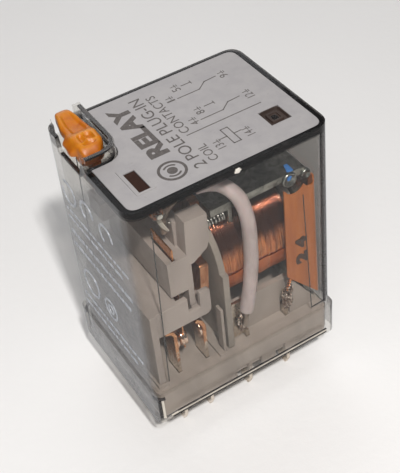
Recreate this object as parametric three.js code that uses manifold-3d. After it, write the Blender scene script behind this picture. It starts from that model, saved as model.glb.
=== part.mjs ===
// A miniature two-pole changeover plug-in relay, in millimetres, +Z up.
// The origin is the centre of the base's underside. +X runs from the contact end, where the test
// button is, to the coil end. Y runs across the two poles. The eight blades hang below z = 0.
import * as THREE from "three";
import { mergeVertices } from "three/addons/utils/BufferGeometryUtils.js";
import Module from "manifold-3d";

const wasm = await Module();
wasm.setup();

// ---------- Driving dimensions ----------
const SIDES = [-1, 1];
const HEIGHT = 35.7;
const BODY_X = 13.65; // half length of the cover at its top
const BODY_Y = 10.15; // half width of the cover at its top
const DRAFT = 0.02; // the share by which the cover widens down to its foot
const WALL = 0.7;
const FIT = 0.05; // clearance each side of a pressed-in piece
const SKIRT = { height: 5.2, step: 0.2, radius: 1.2 };
const FOOT_X = BODY_X * (1 + DRAFT); // the same halves at the foot, inside the skirt's step
const FOOT_Y = BODY_Y * (1 + DRAFT);
const BODY_RADIUS = 2;
const CAVITY_TOP = HEIGHT - 1.1;
const DECK = 4.5; // top of the base plate
const WALL_TOP = 10.3; // top of the base's walls beside the coil

const LABEL = { x: 12.86, y: 9.63, radius: 1.3, thick: 0.25 };
const LABEL_SEAT = HEIGHT - LABEL.thick;
const FLAG_WINDOW = { x: [-10.4, -8.95], y: [-7.4, -3.5] };
const SQUARE_WINDOW = { x: [7.9, 10.7], y: [-6.5, -3.5], depth: 0.5, boss: 0.7 };

// The open pocket for the test button, walled by a fence that stands above the label.
const POCKET = { x: -8.6, y: -0.6, radius: 2.5, top: 37.1, floor: 32.5, wall: 0.55, sill: 34.1 };
const LEAN = 0.3; // how far the fence's near wall leans in over the pocket at its top
const CORNER_POST = 36; // the pocket's outer corner stands lower than the fence

// Blade rows along X, and the two poles at plus and minus POLE_Y.
const ROW = { nc: -8.92, no: -4.72, com: 1.63, coil: 7.98 };
const POLE_Y = 6.6;
const BLADE = { thick: 0.5, wide: 2.6, drop: 5.9, taper: 1.3, tip: 1.4 };
const BLADE_Y = [POLE_Y - BLADE.wide / 2, POLE_Y + BLADE.wide / 2];
const COM_TAB = [6.85, 7.35]; // the tab that each braid is soldered to faces outwards
const COIL_POST = [7.2, 7.9];

// Magnet: coil axis along X, armature hinged at the yoke's free end.
const COIL = { z: 17, from: -0.7, to: 10, inner: 4.4, outer: 7.3 };
const FLANGE = { thick: 0.9, radius: 7.8, halfWidth: 8.5, shoulder: 17.9 };
const CORE = { radius: 3.4, face: -1.9, neck: 2.2 };
const YOKE = { thick: 1.1, top: 28.1, halfWidth: 7.2, from: -1.85, to: 12.35, foot: 5 };
const HINGE = { x: -1.97, z: 27.5 };
const RETURN_SPRING = { x: [-2.2, 0.4], y: 6.2, z: 25.75, radius: 0.6, wire: 0.13, turns: 6 };
const SPRING_LUG = [0.62, 1.2];
const ARMATURE = { thick: 1.2, halfWidth: 5.1, bottom: 10.5, top: 28.4, tilt: 3.8, hole: 1.4 };
const EAR = { halfWidth: 6.7, z: [15, 19.5] }; // the armature's wider stretch

// Contacts.
const CONTACT_Z = 9.4;
const CONTACT = { radius: 1.25, thick: 0.48 };
const SPRING = {
  x: -7.65,
  thick: 0.2,
  y: [5.3, 7.45],
  head: 2.5,
  slot: [2.35, 7.55],
  bottom: 7.9,
  top: 25.2,
};
const SHELF = { z: [13.3, 17.5], from: -11.6, to: -3.7, halfWidth: 8.6 };

// Insulated braid from each moving contact spring to its common terminal.
const BRAID_RADIUS = 0.45;
const SLEEVE = { inner: 0.56, outer: 0.95, from: 0.22, to: 0.93 };

// Test button.
const LEVER = { y: 2.7, z: 35.5, hub: 1.5, x: [-12.85, -9.4], top: 37.1, under: 35.35, tip: 10.3 };
const LEVER_PIN = 0.5;
const TONGUE = { x: [-11.6, -10.4], y: [1.9, 3.5], radius: 0.95, foot: [31.1, 31.7], end: 30.4 };

// Operation indicator flag.
const FLAG = { x: -8.6, z: 31.4, inner: 2.55, outer: 2.95, pin: 0.4, y: [-7.3, -3.6] };
const FLAG_REST = 20; // degrees from upright towards +X
const LUG = { x: [-9.4, -7.8], bottom: 30.6, thick: 0.5 };

// ---------- Materials ----------
const finish = (color, roughness, metalness, more = {}) =>
  new THREE.MeshStandardMaterial({ color, roughness, metalness, ...more });
const CLEAR = finish(0xc9c6c2, 0.1, 0, { transparent: true, opacity: 0.25 });
const FILM = finish(0xa5a2a0, 0.45, 0);
const HOUSING = finish(0x9a938c, 0.5, 0);
const CARRIER = finish(0x9c9791, 0.45, 0);
const STEEL = finish(0x55554f, 0.35, 0.9);
const IRON = finish(0x8a8880, 0.3, 0.9);
const COPPER = finish(0x96553c, 0.3, 0.9);
const BRONZE = finish(0x9c7450, 0.35, 0.9);
const SILVER = finish(0xc8c4ba, 0.2, 1);
const TINNED = finish(0xbeb4aa, 0.3, 0.9);
const TAPE = finish(0xa06a3c, 0.4, 0);
const SLEEVING = finish(0xa59b96, 0.6, 0);
const ORANGE = finish(0xd8780f, 0.4, 0);

// ---------- Geometry helpers ----------
function toSolid(geometry) {
  const bare = geometry.index ? geometry.toNonIndexed() : geometry.clone();
  bare.deleteAttribute("normal");
  bare.deleteAttribute("uv");
  const merged = mergeVertices(bare);
  const vertProperties = merged.getAttribute("position").array;
  const triVerts = new Uint32Array(merged.index.array);
  return new wasm.Manifold(new wasm.Mesh({ numProp: 3, vertProperties, triVerts }));
}

function toGeometry(solid) {
  const mesh = solid.getMesh();
  const geometry = new THREE.BufferGeometry();
  geometry.setAttribute("position", new THREE.BufferAttribute(mesh.vertProperties, 3));
  geometry.setIndex(new THREE.BufferAttribute(mesh.triVerts, 1));
  const flat = geometry.toNonIndexed();
  flat.computeVertexNormals();
  return flat;
}

const join = (...pieces) => toGeometry(pieces.map(toSolid).reduce((a, b) => a.add(b)));
const cut = (piece, ...tools) =>
  toGeometry(tools.map(toSolid).reduce((a, b) => a.subtract(b), toSolid(piece)));
const common = (a, b) => toGeometry(toSolid(a).intersect(toSolid(b)));

function block([x0, x1], [y0, y1], [z0, z1]) {
  const box = new THREE.BoxGeometry(x1 - x0, y1 - y0, z1 - z0);
  return box.translate((x0 + x1) / 2, (y0 + y1) / 2, (z0 + z1) / 2);
}

const onSide = (side, [near, far]) => (side > 0 ? [near, far] : [-far, -near]);
const around = (middle, half) => [middle - half, middle + half];
const outline = (points) => new THREE.Shape(points.map(([a, b]) => new THREE.Vector2(a, b)));

// A closed outline whose listed corners, [a, b, radius], are rounded by quadratic curves.
function softOutline(corners) {
  const shape = new THREE.Shape();
  corners.forEach(([a, b, radius = 0], i) => {
    const here = new THREE.Vector2(a, b);
    const [before, after] = [-1, 1].map((step) => {
      const [c, d] = corners[(i + step + corners.length) % corners.length];
      const away = new THREE.Vector2(c, d).sub(here).normalize();
      return here.clone().addScaledVector(away, radius);
    });
    if (i === 0) shape.moveTo(before.x, before.y);
    else shape.lineTo(before.x, before.y);
    if (radius) shape.quadraticCurveTo(a, b, after.x, after.y);
  });
  return shape;
}

const softBox = ([x0, x1], [y0, y1], r) =>
  softOutline([
    [x0, y0, r],
    [x1, y0, r],
    [x1, y1, r],
    [x0, y1, r],
  ]);

function extrude(shape, depth, curveSegments) {
  return new THREE.ExtrudeGeometry(shape, { depth, bevelEnabled: false, curveSegments });
}

// An XY outline raised from z0 to z1.
const slab = (shape, [z0, z1], detail = 6) => extrude(shape, z1 - z0, detail).translate(0, 0, z0);

// An XZ outline that runs from y0 to y1.
const sideSlab = (shape, [y0, y1], detail = 6) =>
  extrude(shape, y1 - y0, detail).rotateX(Math.PI / 2).translate(0, y1, 0);

// A YZ outline that runs from x0 to x1.
function endSlab(shape, [x0, x1], detail = 6) {
  const turn = new THREE.Matrix4().makeBasis(
    new THREE.Vector3(0, 1, 0),
    new THREE.Vector3(0, 0, 1),
    new THREE.Vector3(1, 0, 0),
  );
  return extrude(shape, x1 - x0, detail).applyMatrix4(turn).translate(x0, 0, 0);
}

const rodX = (radius, [x0, x1], y, z, sides = 24) =>
  new THREE.CylinderGeometry(radius, radius, x1 - x0, sides)
    .rotateZ(-Math.PI / 2)
    .translate((x0 + x1) / 2, y, z);

const rodY = (radius, [y0, y1], x, z, sides = 16) =>
  new THREE.CylinderGeometry(radius, radius, y1 - y0, sides).translate(x, (y0 + y1) / 2, z);

// A closed [radius, x] profile turned about an axis along X.
const turnedX = (profile, y, z, sides = 24) =>
  new THREE.LatheGeometry(
    [...profile, profile[0]].reverse().map(([r, x]) => new THREE.Vector2(r, x)),
    sides,
  )
    .rotateZ(-Math.PI / 2)
    .translate(0, y, z);

// The outline of a sheet of even thickness bent along a line of points.
function bentSheet(points, thick) {
  const line = points.map(([a, b]) => new THREE.Vector2(a, b));
  const normals = line.map((here, i) => {
    const into = here.clone().sub(line[Math.max(i - 1, 0)]).normalize();
    const out = line[Math.min(i + 1, line.length - 1)].clone().sub(here).normalize();
    const along = into.clone().add(out).normalize();
    const cosine = i > 0 && i < line.length - 1 ? along.dot(into) : 1;
    return new THREE.Vector2(-along.y, along.x).multiplyScalar(thick / 2 / cosine);
  });
  const left = line.map((here, i) => here.clone().add(normals[i]));
  const right = line.map((here, i) => here.clone().sub(normals[i]));
  return new THREE.Shape([...left, ...right.reverse()]);
}

function ring(outer, inner = 0, sides = 10) {
  const circle = (r) =>
    Array.from({ length: sides }, (_, i) => {
      const angle = (2 * Math.PI * i) / sides;
      return new THREE.Vector2(r * Math.cos(angle), r * Math.sin(angle));
    });
  const shape = new THREE.Shape(circle(outer));
  if (inner) shape.holes.push(new THREE.Path(circle(inner)));
  return shape;
}

const smooth = (points) => new THREE.CatmullRomCurve3(points.map((p) => new THREE.Vector3(...p)));

// The stretch of a curve between two shares of its length.
class Stretch extends THREE.Curve {
  constructor(whole, from, to) {
    super();
    Object.assign(this, { whole, from, to });
  }
  getPoint(share, target = new THREE.Vector3()) {
    return this.whole.getPointAt(this.from + (this.to - this.from) * share, target);
  }
}

const sweep = (shape, extrudePath, steps) => new THREE.ExtrudeGeometry(shape, { extrudePath, steps });

// ---------- Cover, label and base ----------
function bodyOutline(inset, radius) {
  return softBox(around(0, BODY_X - inset), around(0, BODY_Y - inset), radius);
}

function pocketOutline(inset) {
  return softOutline([
    [-BODY_X + inset, POCKET.y + inset],
    [POCKET.x - inset, POCKET.y + inset, POCKET.radius - inset],
    [POCKET.x - inset, BODY_Y - inset],
    [-BODY_X + inset, BODY_Y - inset, inset ? 1.3 : 0],
  ]);
}

function labelOutline(grow) {
  const { x, y, radius } = LABEL;
  return softOutline([
    [-x - grow, -y - grow, radius],
    [x + grow, -y - grow, radius],
    [x + grow, y + grow, radius],
    [POCKET.x + 0.1 - grow, y + grow],
    [POCKET.x + 0.1 - grow, POCKET.y - 0.1 + grow, POCKET.radius],
    [-x - grow, POCKET.y - 0.1 + grow],
  ]);
}

// Walls that lean outwards from the cover's top down to its foot.
function drafted(geometry) {
  const points = geometry.getAttribute("position");
  for (let i = 0; i < points.count; i += 1) {
    const grown = 1 + DRAFT * (1 - points.getZ(i) / HEIGHT);
    points.setXY(i, points.getX(i) * grown, points.getY(i) * grown);
  }
  return geometry;
}

// The fence's near wall leans in over the pocket from the label's height up.
function leaning(geometry) {
  const points = geometry.getAttribute("position");
  for (let i = 0; i < points.count; i += 1) {
    const share = (points.getZ(i) - HEIGHT) / (POCKET.top - HEIGHT);
    const y = points.getY(i);
    points.setY(i, y < 5 ? y + LEAN * share : y);
  }
  return geometry;
}

function coverShell() {
  const { step, radius } = SKIRT;
  const skirt = softBox(around(0, FOOT_X + step), around(0, FOOT_Y + step), radius);
  const skirtHollow = softBox(around(0, FOOT_X - WALL + 0.15), around(0, FOOT_Y - WALL + 0.15), 0.9);
  const raised = common(
    slab(bodyOutline(0, BODY_RADIUS), [HEIGHT, POCKET.top]),
    leaning(slab(pocketOutline(0), [HEIGHT, 38])),
  );
  const outside = join(
    slab(skirt, [0, SKIRT.height]),
    drafted(slab(bodyOutline(0, BODY_RADIUS), [1, HEIGHT])),
    raised,
  );
  const pocketBlock = slab(pocketOutline(0), [POCKET.floor - POCKET.wall, HEIGHT]);
  const hollow = cut(drafted(slab(bodyOutline(WALL, 1.3), [-1, CAVITY_TOP])), pocketBlock);
  const pocket = join(
    slab(pocketOutline(POCKET.wall), [POCKET.floor, HEIGHT]),
    leaning(slab(pocketOutline(POCKET.wall), [HEIGHT, 38])),
  );
  return cut(outside, hollow, slab(skirtHollow, [-1, DECK + 0.1]), pocket);
}

function coverOpenings() {
  const clear = POCKET.top + 1;
  const sideSill = outline([
    [0.4, 36.5],
    [1.2, POCKET.sill],
    [6.7, POCKET.sill],
    [7.1, CORNER_POST],
    [12, CORNER_POST],
    [12, clear],
    [0.4, clear],
  ]);
  const farSill = block([-12.6, -9.6], [BODY_Y - 1, BODY_Y + 1], [POCKET.sill, clear]);
  const corner = block([-15, -12], [BODY_Y - 1, BODY_Y + 1], [CORNER_POST, clear]);
  const plungerSlot = block([-11.75, -10.25], [1.7, 3.7], [31, 33]);
  const window = block(SQUARE_WINDOW.x, SQUARE_WINDOW.y, [LABEL_SEAT - SQUARE_WINDOW.depth, HEIGHT + 1]);
  const [left, right] = SQUARE_WINDOW.x;
  const [front, back] = SQUARE_WINDOW.y;
  const { boss } = SQUARE_WINDOW;
  const island = block([left + boss, right - boss], [front + boss, back - boss], [34.5, LABEL_SEAT - 0.1]);
  return [
    endSlab(sideSill, [-BODY_X - 1, -BODY_X + WALL]),
    farSill,
    corner,
    plungerSlot,
    cut(window, island),
    slab(labelOutline(FIT), [LABEL_SEAT, HEIGHT + 1]),
  ];
}

// Two clear lugs under the cover's top carry the indicator flag's pin.
function flagLugs() {
  return FLAG.y.map((y, i) => {
    const start = i ? y + 0.1 : y - 0.1 - LUG.thick;
    const lug = block(LUG.x, [start, start + LUG.thick], [LUG.bottom, CAVITY_TOP + 0.2]);
    return cut(lug, rodY(FLAG.pin + FIT, [start - 1, start + 2], FLAG.x, FLAG.z));
  });
}

const cover = () => join(cut(coverShell(), ...coverOpenings()), ...flagLugs());

function label() {
  const sheet = slab(labelOutline(0), [LABEL_SEAT, HEIGHT]);
  const through = [LABEL_SEAT - 1, HEIGHT + 1];
  return cut(
    sheet,
    block(FLAG_WINDOW.x, FLAG_WINDOW.y, through),
    block(SQUARE_WINDOW.x, SQUARE_WINDOW.y, through),
  );
}

// A wall beside the coil that slopes down at the coil end, and a stiffening rib by the bobbin.
function baseSide(side) {
  const wall = outline([
    [-0.6, DECK - 1],
    [-0.6, WALL_TOP],
    [9.2, WALL_TOP],
    [9.9, 9.2],
    [9.9, DECK - 1],
  ]);
  const gusset = outline([
    [8.5, DECK - 1],
    [8.5, WALL_TOP],
    [9.2, WALL_TOP],
    [12.6, 5.2],
    [12.6, DECK - 1],
  ]);
  return [
    sideSlab(wall, onSide(side, [5.9, 6.75])),
    block([8.5, 9.9], onSide(side, [6.6, 7.4]), [DECK - 1, 8.6]),
    sideSlab(gusset, onSide(side, [7.25, 7.9])),
    block([-2.5, -2.1], onSide(side, [7.3, 8.5]), [DECK - 1, 12.4]),
    block([-12.7, -11.2], onSide(side, [4, 9]), [DECK - 1, DECK + 0.6]),
    block([-3.4, -2.6], onSide(side, [5.6, 9]), [DECK - 1, DECK + 0.5]),
  ];
}

function base() {
  const plate = softBox(around(0, FOOT_X - WALL + 0.05), around(0, FOOT_Y - WALL + 0.05), 0.8);
  const slots = SIDES.flatMap((side) =>
    Object.values(ROW).map((x) =>
      block(
        around(x, BLADE.thick / 2 + FIT),
        onSide(side, [BLADE_Y[0] - FIT, BLADE_Y[1] + FIT]),
        [-1, 6.5],
      ),
    ),
  );
  const notches = SIDES.flatMap((side) =>
    [
      [-1.5, 0.4],
      [0.9, 2.5],
      [4.7, 6.3],
    ].map((x) => block(x, onSide(side, [9, 11]), [-1, 1.4])),
  );
  const footings = SIDES.map((side) => block([-12, -10.4], onSide(side, [2, 4]), [-1, 0.8]));
  return cut(
    join(slab(plate, [0, DECK]), ...SIDES.flatMap(baseSide)),
    ...slots,
    ...notches,
    ...footings,
  );
}

// An upright by the contact end, with a shelf that guides the carrier's fingers above the contacts.
function contactGuide() {
  const [low, high] = SHELF.z;
  const profile = softOutline([
    [SHELF.from, low],
    [SHELF.to, low, 1],
    [SHELF.to, high, 0.5],
    [SHELF.from, high],
  ]);
  const parts = SIDES.map((side) => sideSlab(profile, onSide(side, [5.3, SHELF.halfWidth]), 4));
  const slots = SIDES.flatMap((side) => [
    block([-8.2, -6], onSide(side, [5.1, 7.9]), [10, 20]),
    block([-6.1, -3.4], onSide(side, [5.1, 7.9]), [14.7, 20]),
    block([-6.9, -5.2], onSide(side, [7.8, 9]), [15, 20]),
  ]);
  return cut(
    join(
      block([-12.45, SHELF.from + 0.1], around(0, 8.8), [DECK + 0.65, SHELF.z[1]]),
      block([SHELF.from, -4.7], around(0, 5.4), SHELF.z),
      ...parts,
    ),
    ...slots,
  );
}

// ---------- Terminals and fixed contacts ----------
function bladeBelow(x, side, top) {
  const [near, far] = BLADE_Y;
  const tipIn = (BLADE.wide - BLADE.tip) / 2;
  const shape = outline(
    [
      [near, top],
      [near, -BLADE.drop + BLADE.taper],
      [near + tipIn, -BLADE.drop],
      [far - tipIn, -BLADE.drop],
      [far, -BLADE.drop + BLADE.taper],
      [far, top],
    ].map(([y, z]) => [side * y, z]),
  );
  return endSlab(shape, around(x, BLADE.thick / 2));
}

function fixedContactTerminal(x, side, lip) {
  const head = bentSheet([[x, DECK - 1], ...lip], BLADE.thick);
  return join(bladeBelow(x, side, DECK), sideSlab(head, onSide(side, BLADE_Y)));
}

const ncTerminal = (side) =>
  fixedContactTerminal(ROW.nc, side, [
    [ROW.nc, 11.3],
    [ROW.nc - 0.35, 12.1],
    [ROW.nc - 1.3, 12.5],
  ]);

const noTerminal = (side) =>
  fixedContactTerminal(ROW.no, side, [
    [ROW.no, 10.6],
    [ROW.no - 0.35, 11.5],
    [ROW.no - 1.1, 12.1],
  ]);

function comTerminal(side) {
  const tab = block([-0.2, ROW.com + BLADE.thick / 2], onSide(side, COM_TAB), [DECK + 0.2, 10.9]);
  return join(bladeBelow(ROW.com, side, DECK + 1.1), tab);
}

function coilTerminal(side) {
  const post = block(around(ROW.coil, BLADE.thick / 2), onSide(side, COIL_POST), [DECK, 9]);
  return join(bladeBelow(ROW.coil, side, DECK + 1.3), post);
}

const contactDisc = (x0, side) => {
  const x1 = x0 + CONTACT.thick;
  const dome = 0.12;
  return turnedX(
    [
      [0, x0],
      [0, x1],
      [CONTACT.radius - dome, x1],
      [CONTACT.radius, x1 - dome],
      [CONTACT.radius, x0 + dome],
      [CONTACT.radius - dome, x0],
    ],
    side * POLE_Y,
    CONTACT_Z,
    20,
  );
};

// ---------- Magnet ----------
function bobbinFlange(x0, halfWidth, bottom) {
  const { radius, shoulder, thick } = FLANGE;
  const cheek = block([x0, x0 + thick], around(0, halfWidth), [bottom, shoulder]);
  return join(rodX(radius, [x0, x0 + thick], 0, COIL.z, 40), cheek);
}

function bobbin() {
  const tube = rodX(COIL.inner - 0.1, [COIL.from - 0.5, COIL.to + 0.5], 0, COIL.z, 32);
  const bore = rodX(CORE.radius + 0.08, [-5, 15], 0, COIL.z, 32);
  const near = bobbinFlange(COIL.from - 0.1 - FLANGE.thick, FLANGE.halfWidth, DECK + 0.1);
  const far = bobbinFlange(COIL.to + 0.1, 6.9, 11);
  return cut(join(tube, near, far), bore);
}

const winding = () =>
  turnedX(
    [
      [COIL.inner, COIL.from],
      [COIL.inner, COIL.to],
      [COIL.outer, COIL.to],
      [COIL.outer, COIL.from],
    ],
    0,
    COIL.z,
    48,
  );

function core() {
  const body = rodX(CORE.radius, [CORE.face, YOKE.to - YOKE.thick - 0.05], 0, COIL.z, 32);
  const neck = rodX(CORE.neck, [5, YOKE.to], 0, COIL.z, 24);
  const groove = turnedX(
    [
      [1.2, -5],
      [1.2, CORE.face + 1],
      [2.1, CORE.face + 1],
      [2.1, -5],
    ],
    0,
    COIL.z + 0.7,
  );
  return cut(join(body, neck), groove);
}

const shadingRing = () =>
  turnedX(
    [
      [1.25, CORE.face],
      [1.25, CORE.face + 0.9],
      [2.05, CORE.face + 0.9],
      [2.05, CORE.face],
    ],
    0,
    COIL.z + 0.7,
  );

function yoke() {
  const { thick, top, halfWidth, from, to, foot } = YOKE;
  const bend = softOutline([
    [from, top - thick],
    [to - thick, top - thick, 0.4],
    [to - thick, foot],
    [to, foot],
    [to, top, 1.2],
    [from, top],
  ]);
  const hole = rodX(CORE.neck + FIT, [5, 15], 0, COIL.z, 24);
  const lugs = SIDES.map((side) =>
    block(SPRING_LUG, onSide(side, [5.3, halfWidth]), [RETURN_SPRING.z - 0.9, top - thick / 2]),
  );
  return cut(join(sideSlab(bend, around(0, halfWidth)), ...lugs), hole);
}

// Insulating film wrapped round the yoke's upright leg, its lower edge sloping up from the coil end.
function insulatingFilm() {
  const back = block([12.45, 12.65], around(0, 8.35), [6.4, 26.8]);
  const flap = outline([
    [7.9, 26.8],
    [7.9, 12.2],
    [12.5, 6.4],
    [12.65, 6.4],
    [12.65, 26.8],
  ]);
  return join(back, ...SIDES.map((side) => sideSlab(flap, onSide(side, [8.2, 8.4]))));
}

// The armature is shaped as it lies against the core, about its hinge, and stands open at rest.
function armature() {
  const { thick, halfWidth, bottom, top, hole } = ARMATURE;
  const left = -thick;
  const plate = endSlab(
    softBox(around(0, halfWidth), [bottom - HINGE.z, top - HINGE.z], 0.8),
    [left - 0.03, -0.03],
  );
  const ears = softBox(around(0, EAR.halfWidth), [EAR.z[0] - HINGE.z, EAR.z[1] - HINGE.z], 0.5);
  return cut(
    join(plate, endSlab(ears, [left - 0.03, -0.03])),
    rodX(hole, [-5, 5], 0, 23 - HINGE.z, 20),
  );
}

// A compression spring between a lug under the yoke and the carrier, which holds the armature open.
class Helix extends THREE.Curve {
  getPoint(share, target = new THREE.Vector3()) {
    const angle = 2 * Math.PI * RETURN_SPRING.turns * share;
    const r = RETURN_SPRING.radius;
    const [from, to] = RETURN_SPRING.x;
    return target.set(from + (to - from) * share, r * Math.cos(angle), r * Math.sin(angle));
  }
}

const returnSpring = (side) =>
  sweep(ring(RETURN_SPRING.wire, 0, 6), new Helix(), RETURN_SPRING.turns * 12).translate(
    0,
    side * RETURN_SPRING.y,
    RETURN_SPRING.z,
  );

// ---------- Moving contacts ----------
function carrierSide(side) {
  const upper = outline([
    [-5.6, 28.7],
    [-2.5, 28.5],
    [-2.5, 24.4],
    [-2.9, 23.2],
    [-4.9, 21.8],
    [-5.9, 21.8],
  ]);
  return [
    sideSlab(upper, onSide(side, [5.4, 7.6])),
    block([-8.6, -5.8], onSide(side, [-1, 7.75]), [18.05, 23.6]),
    block([-6.1, -5.3], onSide(side, [6.3, 7.6]), [14.95, 22]),
  ];
}

function carrier() {
  const bridge = block([-6.15, -4.9], around(0, 5.5), [19.4, 27.4]);
  const stake = rodX(1, [-6, -2.75], 0, 23, 20);
  const boss = rodX(2.2, [-5, -4], 0, 23, 20);
  const pushArm = block([-12.1, -6.1], [0.9, 4.1], [26.2, 27.4]);
  const pushPad = block([-12.1, -9.8], [0.9, 4.1], [27, 28.9]);
  const springSlots = SIDES.map((side) =>
    block(around(SPRING.x + SPRING.thick / 2, 0.25), onSide(side, SPRING.slot), [15, 25]),
  );
  return cut(
    join(...SIDES.flatMap(carrierSide), bridge, stake, boss, pushArm, pushPad),
    ...springSlots,
  );
}

// A strip that hangs from the carrier, with a wide head where the braid is welded.
function movingSpring(side) {
  const [near, far] = SPRING.y;
  const shape = outline(
    [
      [near, SPRING.bottom],
      [far, SPRING.bottom],
      [far, SPRING.top],
      [SPRING.head, SPRING.top],
      [SPRING.head, 23.8],
      [near, 23.8],
    ].map(([y, z]) => [side * y, z]),
  );
  const strip = endSlab(shape, [SPRING.x, SPRING.x + SPRING.thick]);
  return cut(strip, rodX(0.6, [-9, -6], side * POLE_Y, CONTACT_Z, 16));
}

function movingContact(side) {
  const left = SPRING.x - 0.05;
  const right = SPRING.x + SPRING.thick + 0.05;
  const shank = rodX(0.5, [left - 0.1, right + 0.1], side * POLE_Y, CONTACT_Z, 16);
  return join(contactDisc(left - CONTACT.thick, side), shank, contactDisc(right, side));
}

// ---------- Wires and solder ----------
const braidRoute = (side) =>
  smooth(
    [
      [-6.9, 4.7, 25.7],
      [-6.8, 4.75, 27.8],
      [-5.4, 5.1, 30.1],
      [-2.6, 5.8, 31.4],
      [0, 6.5, 30.9],
      [1.5, 7.8, 29.4],
      [2.3, 8.42, 26.6],
      [2.7, 8.4, 20],
      [2.2, 8.35, 14],
      [1.3, 8.4, 9.6],
      [1, 8.4, 7.6],
    ].map(([x, y, z]) => [x, side * y, z]),
  );

const braid = (side) => sweep(ring(BRAID_RADIUS, 0, 8), braidRoute(side), 30);

function sleeve(side) {
  const route = new Stretch(braidRoute(side), SLEEVE.from, SLEEVE.to);
  return sweep(ring(SLEEVE.outer, SLEEVE.inner), route, 20);
}

const coilLead = (side) =>
  sweep(
    ring(0.16, 0, 6),
    smooth(
      [
        [9.7, 7.5, 13.4],
        [9.5, 7.85, 12.5],
        [9, 8, 11.6],
        [8.5, 8.05, 10.7],
        [8, 8.2, 9.5],
      ].map(([x, y, z]) => [x, side * y, z]),
    ),
    10,
  );

// A bead of solder on the outer face of a terminal.
function solder(x, face, side, z, width, height) {
  const seat = face + FIT;
  const bead = new THREE.SphereGeometry(1, 12, 8).scale(width, 0.5, height);
  bead.translate(x, side * seat, z);
  return common(bead, block(around(x, 3), onSide(side, [seat, 9]), around(z, 4)));
}

// ---------- Test button and flag ----------
// The lever's side view in Y and Z about its pivot, with a round hub and a raised finger tip.
function leverProfile() {
  const top = LEVER.top - LEVER.z;
  const under = LEVER.under - LEVER.z;
  const tip = LEVER.tip - LEVER.y;
  const hubEnd = Math.asin(under / -LEVER.hub);
  const shape = new THREE.Shape();
  shape.moveTo(0, LEVER.hub);
  shape.absarc(0, 0, LEVER.hub, Math.PI / 2, 2 * Math.PI - hubEnd, false);
  shape.lineTo(tip - 0.8, under);
  shape.quadraticCurveTo(tip, under, tip, under + 0.9);
  shape.quadraticCurveTo(tip, top, tip - 1.1, top);
  shape.lineTo(0.6, top);
  return shape;
}

function testLever() {
  const [left, right] = LEVER.x;
  const top = LEVER.top - LEVER.z;
  const body = endSlab(leverProfile(), LEVER.x, 8);
  const plan = slab(
    softOutline([
      [left, -3],
      [right - 1, -3],
      [right - 0.55, -1],
      [right, 0.2],
      [right, 2.2],
      [right - 0.4, 5],
      [right - 0.55, 9],
      [left + 0.5, 9],
      [left + 0.1, 4],
    ]),
    [-4, 4],
  );
  // The top edge beside the fence is taken off, so that the lever clears the fence's corner upright.
  const ends = outline([
    [left - 1, -4],
    [right, -4],
    [right, top - 0.4],
    [right - 0.4, top],
    [left - 1, top],
  ]);
  const trimmed = common(common(body, plan), sideSlab(ends, [-4, 12]));
  const shoulder = block([left - 0.75, left + 1], [0.1, 3.5], [LEVER.under - LEVER.z, 1.35]);
  const slot = block([-11.8, -10.2], [-4, 1.75], [-4, 1.15]);
  return cut(join(trimmed, shoulder), slot, rodX(LEVER_PIN + FIT, [-15, -5], 0, 0, 16));
}

const leverPin = () => rodX(LEVER_PIN, [LEVER.x[0] + 0.2, LEVER.x[1] - 0.2], 0, 0, 16);

function testPlunger() {
  const { x, y, radius, foot, end } = TONGUE;
  return cut(
    join(
      rodX(radius, x, LEVER.y, LEVER.z, 16),
      block(x, y, [end, LEVER.z]),
      block([-12.2, -9.8], [1, 4], foot),
    ),
    rodX(LEVER_PIN + FIT, [-15, -5], LEVER.y, LEVER.z, 16),
  );
}

// A curved tab on two arms, about its own pin.
function flag() {
  const { inner, outer, pin, y } = FLAG;
  const half = 0.25;
  const middle = Math.PI / 2;
  const tab = new THREE.Shape();
  tab.absarc(0, 0, outer, middle - half, middle + half, false);
  tab.absarc(0, 0, inner, middle + half, middle - half, true);
  const across = [0, 0.6];
  const arm = cut(
    join(block([-0.4, 0.4], across, [0, inner + 0.15]), rodY(0.8, across, 0, 0)),
    rodY(pin + FIT, [-1, 2], 0, 0),
  );
  const arms = [y[0], y[1] - across[1]].map((start) => arm.clone().translate(0, start, 0));
  return join(sideSlab(tab, y), ...arms);
}

const flagPin = () => rodY(FLAG.pin, [FLAG.y[0] - 0.6, FLAG.y[1] + 0.6], FLAG.x, FLAG.z);

// ---------- Assembly ----------
const relay = new THREE.Group();

function place(group, name, geometry, material) {
  const mesh = new THREE.Mesh(geometry, material);
  mesh.name = name;
  group.add(mesh);
  return mesh;
}

function groupAt(x, y, z) {
  const group = new THREE.Group();
  group.position.set(x, y, z);
  relay.add(group);
  return group;
}

place(relay, "cover", cover(), CLEAR);
place(relay, "label", label(), FILM);
place(relay, "base", base(), HOUSING);
place(relay, "contact_guide", contactGuide(), HOUSING);
place(relay, "bobbin", bobbin(), HOUSING);
place(relay, "coil_winding", winding(), COPPER);
place(relay, "core", core(), IRON);
place(relay, "shading_ring", shadingRing(), COPPER);
place(relay, "yoke", yoke(), STEEL);
place(relay, "insulating_film", insulatingFilm(), TAPE);
place(relay, "contact_carrier", carrier(), CARRIER);

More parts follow.
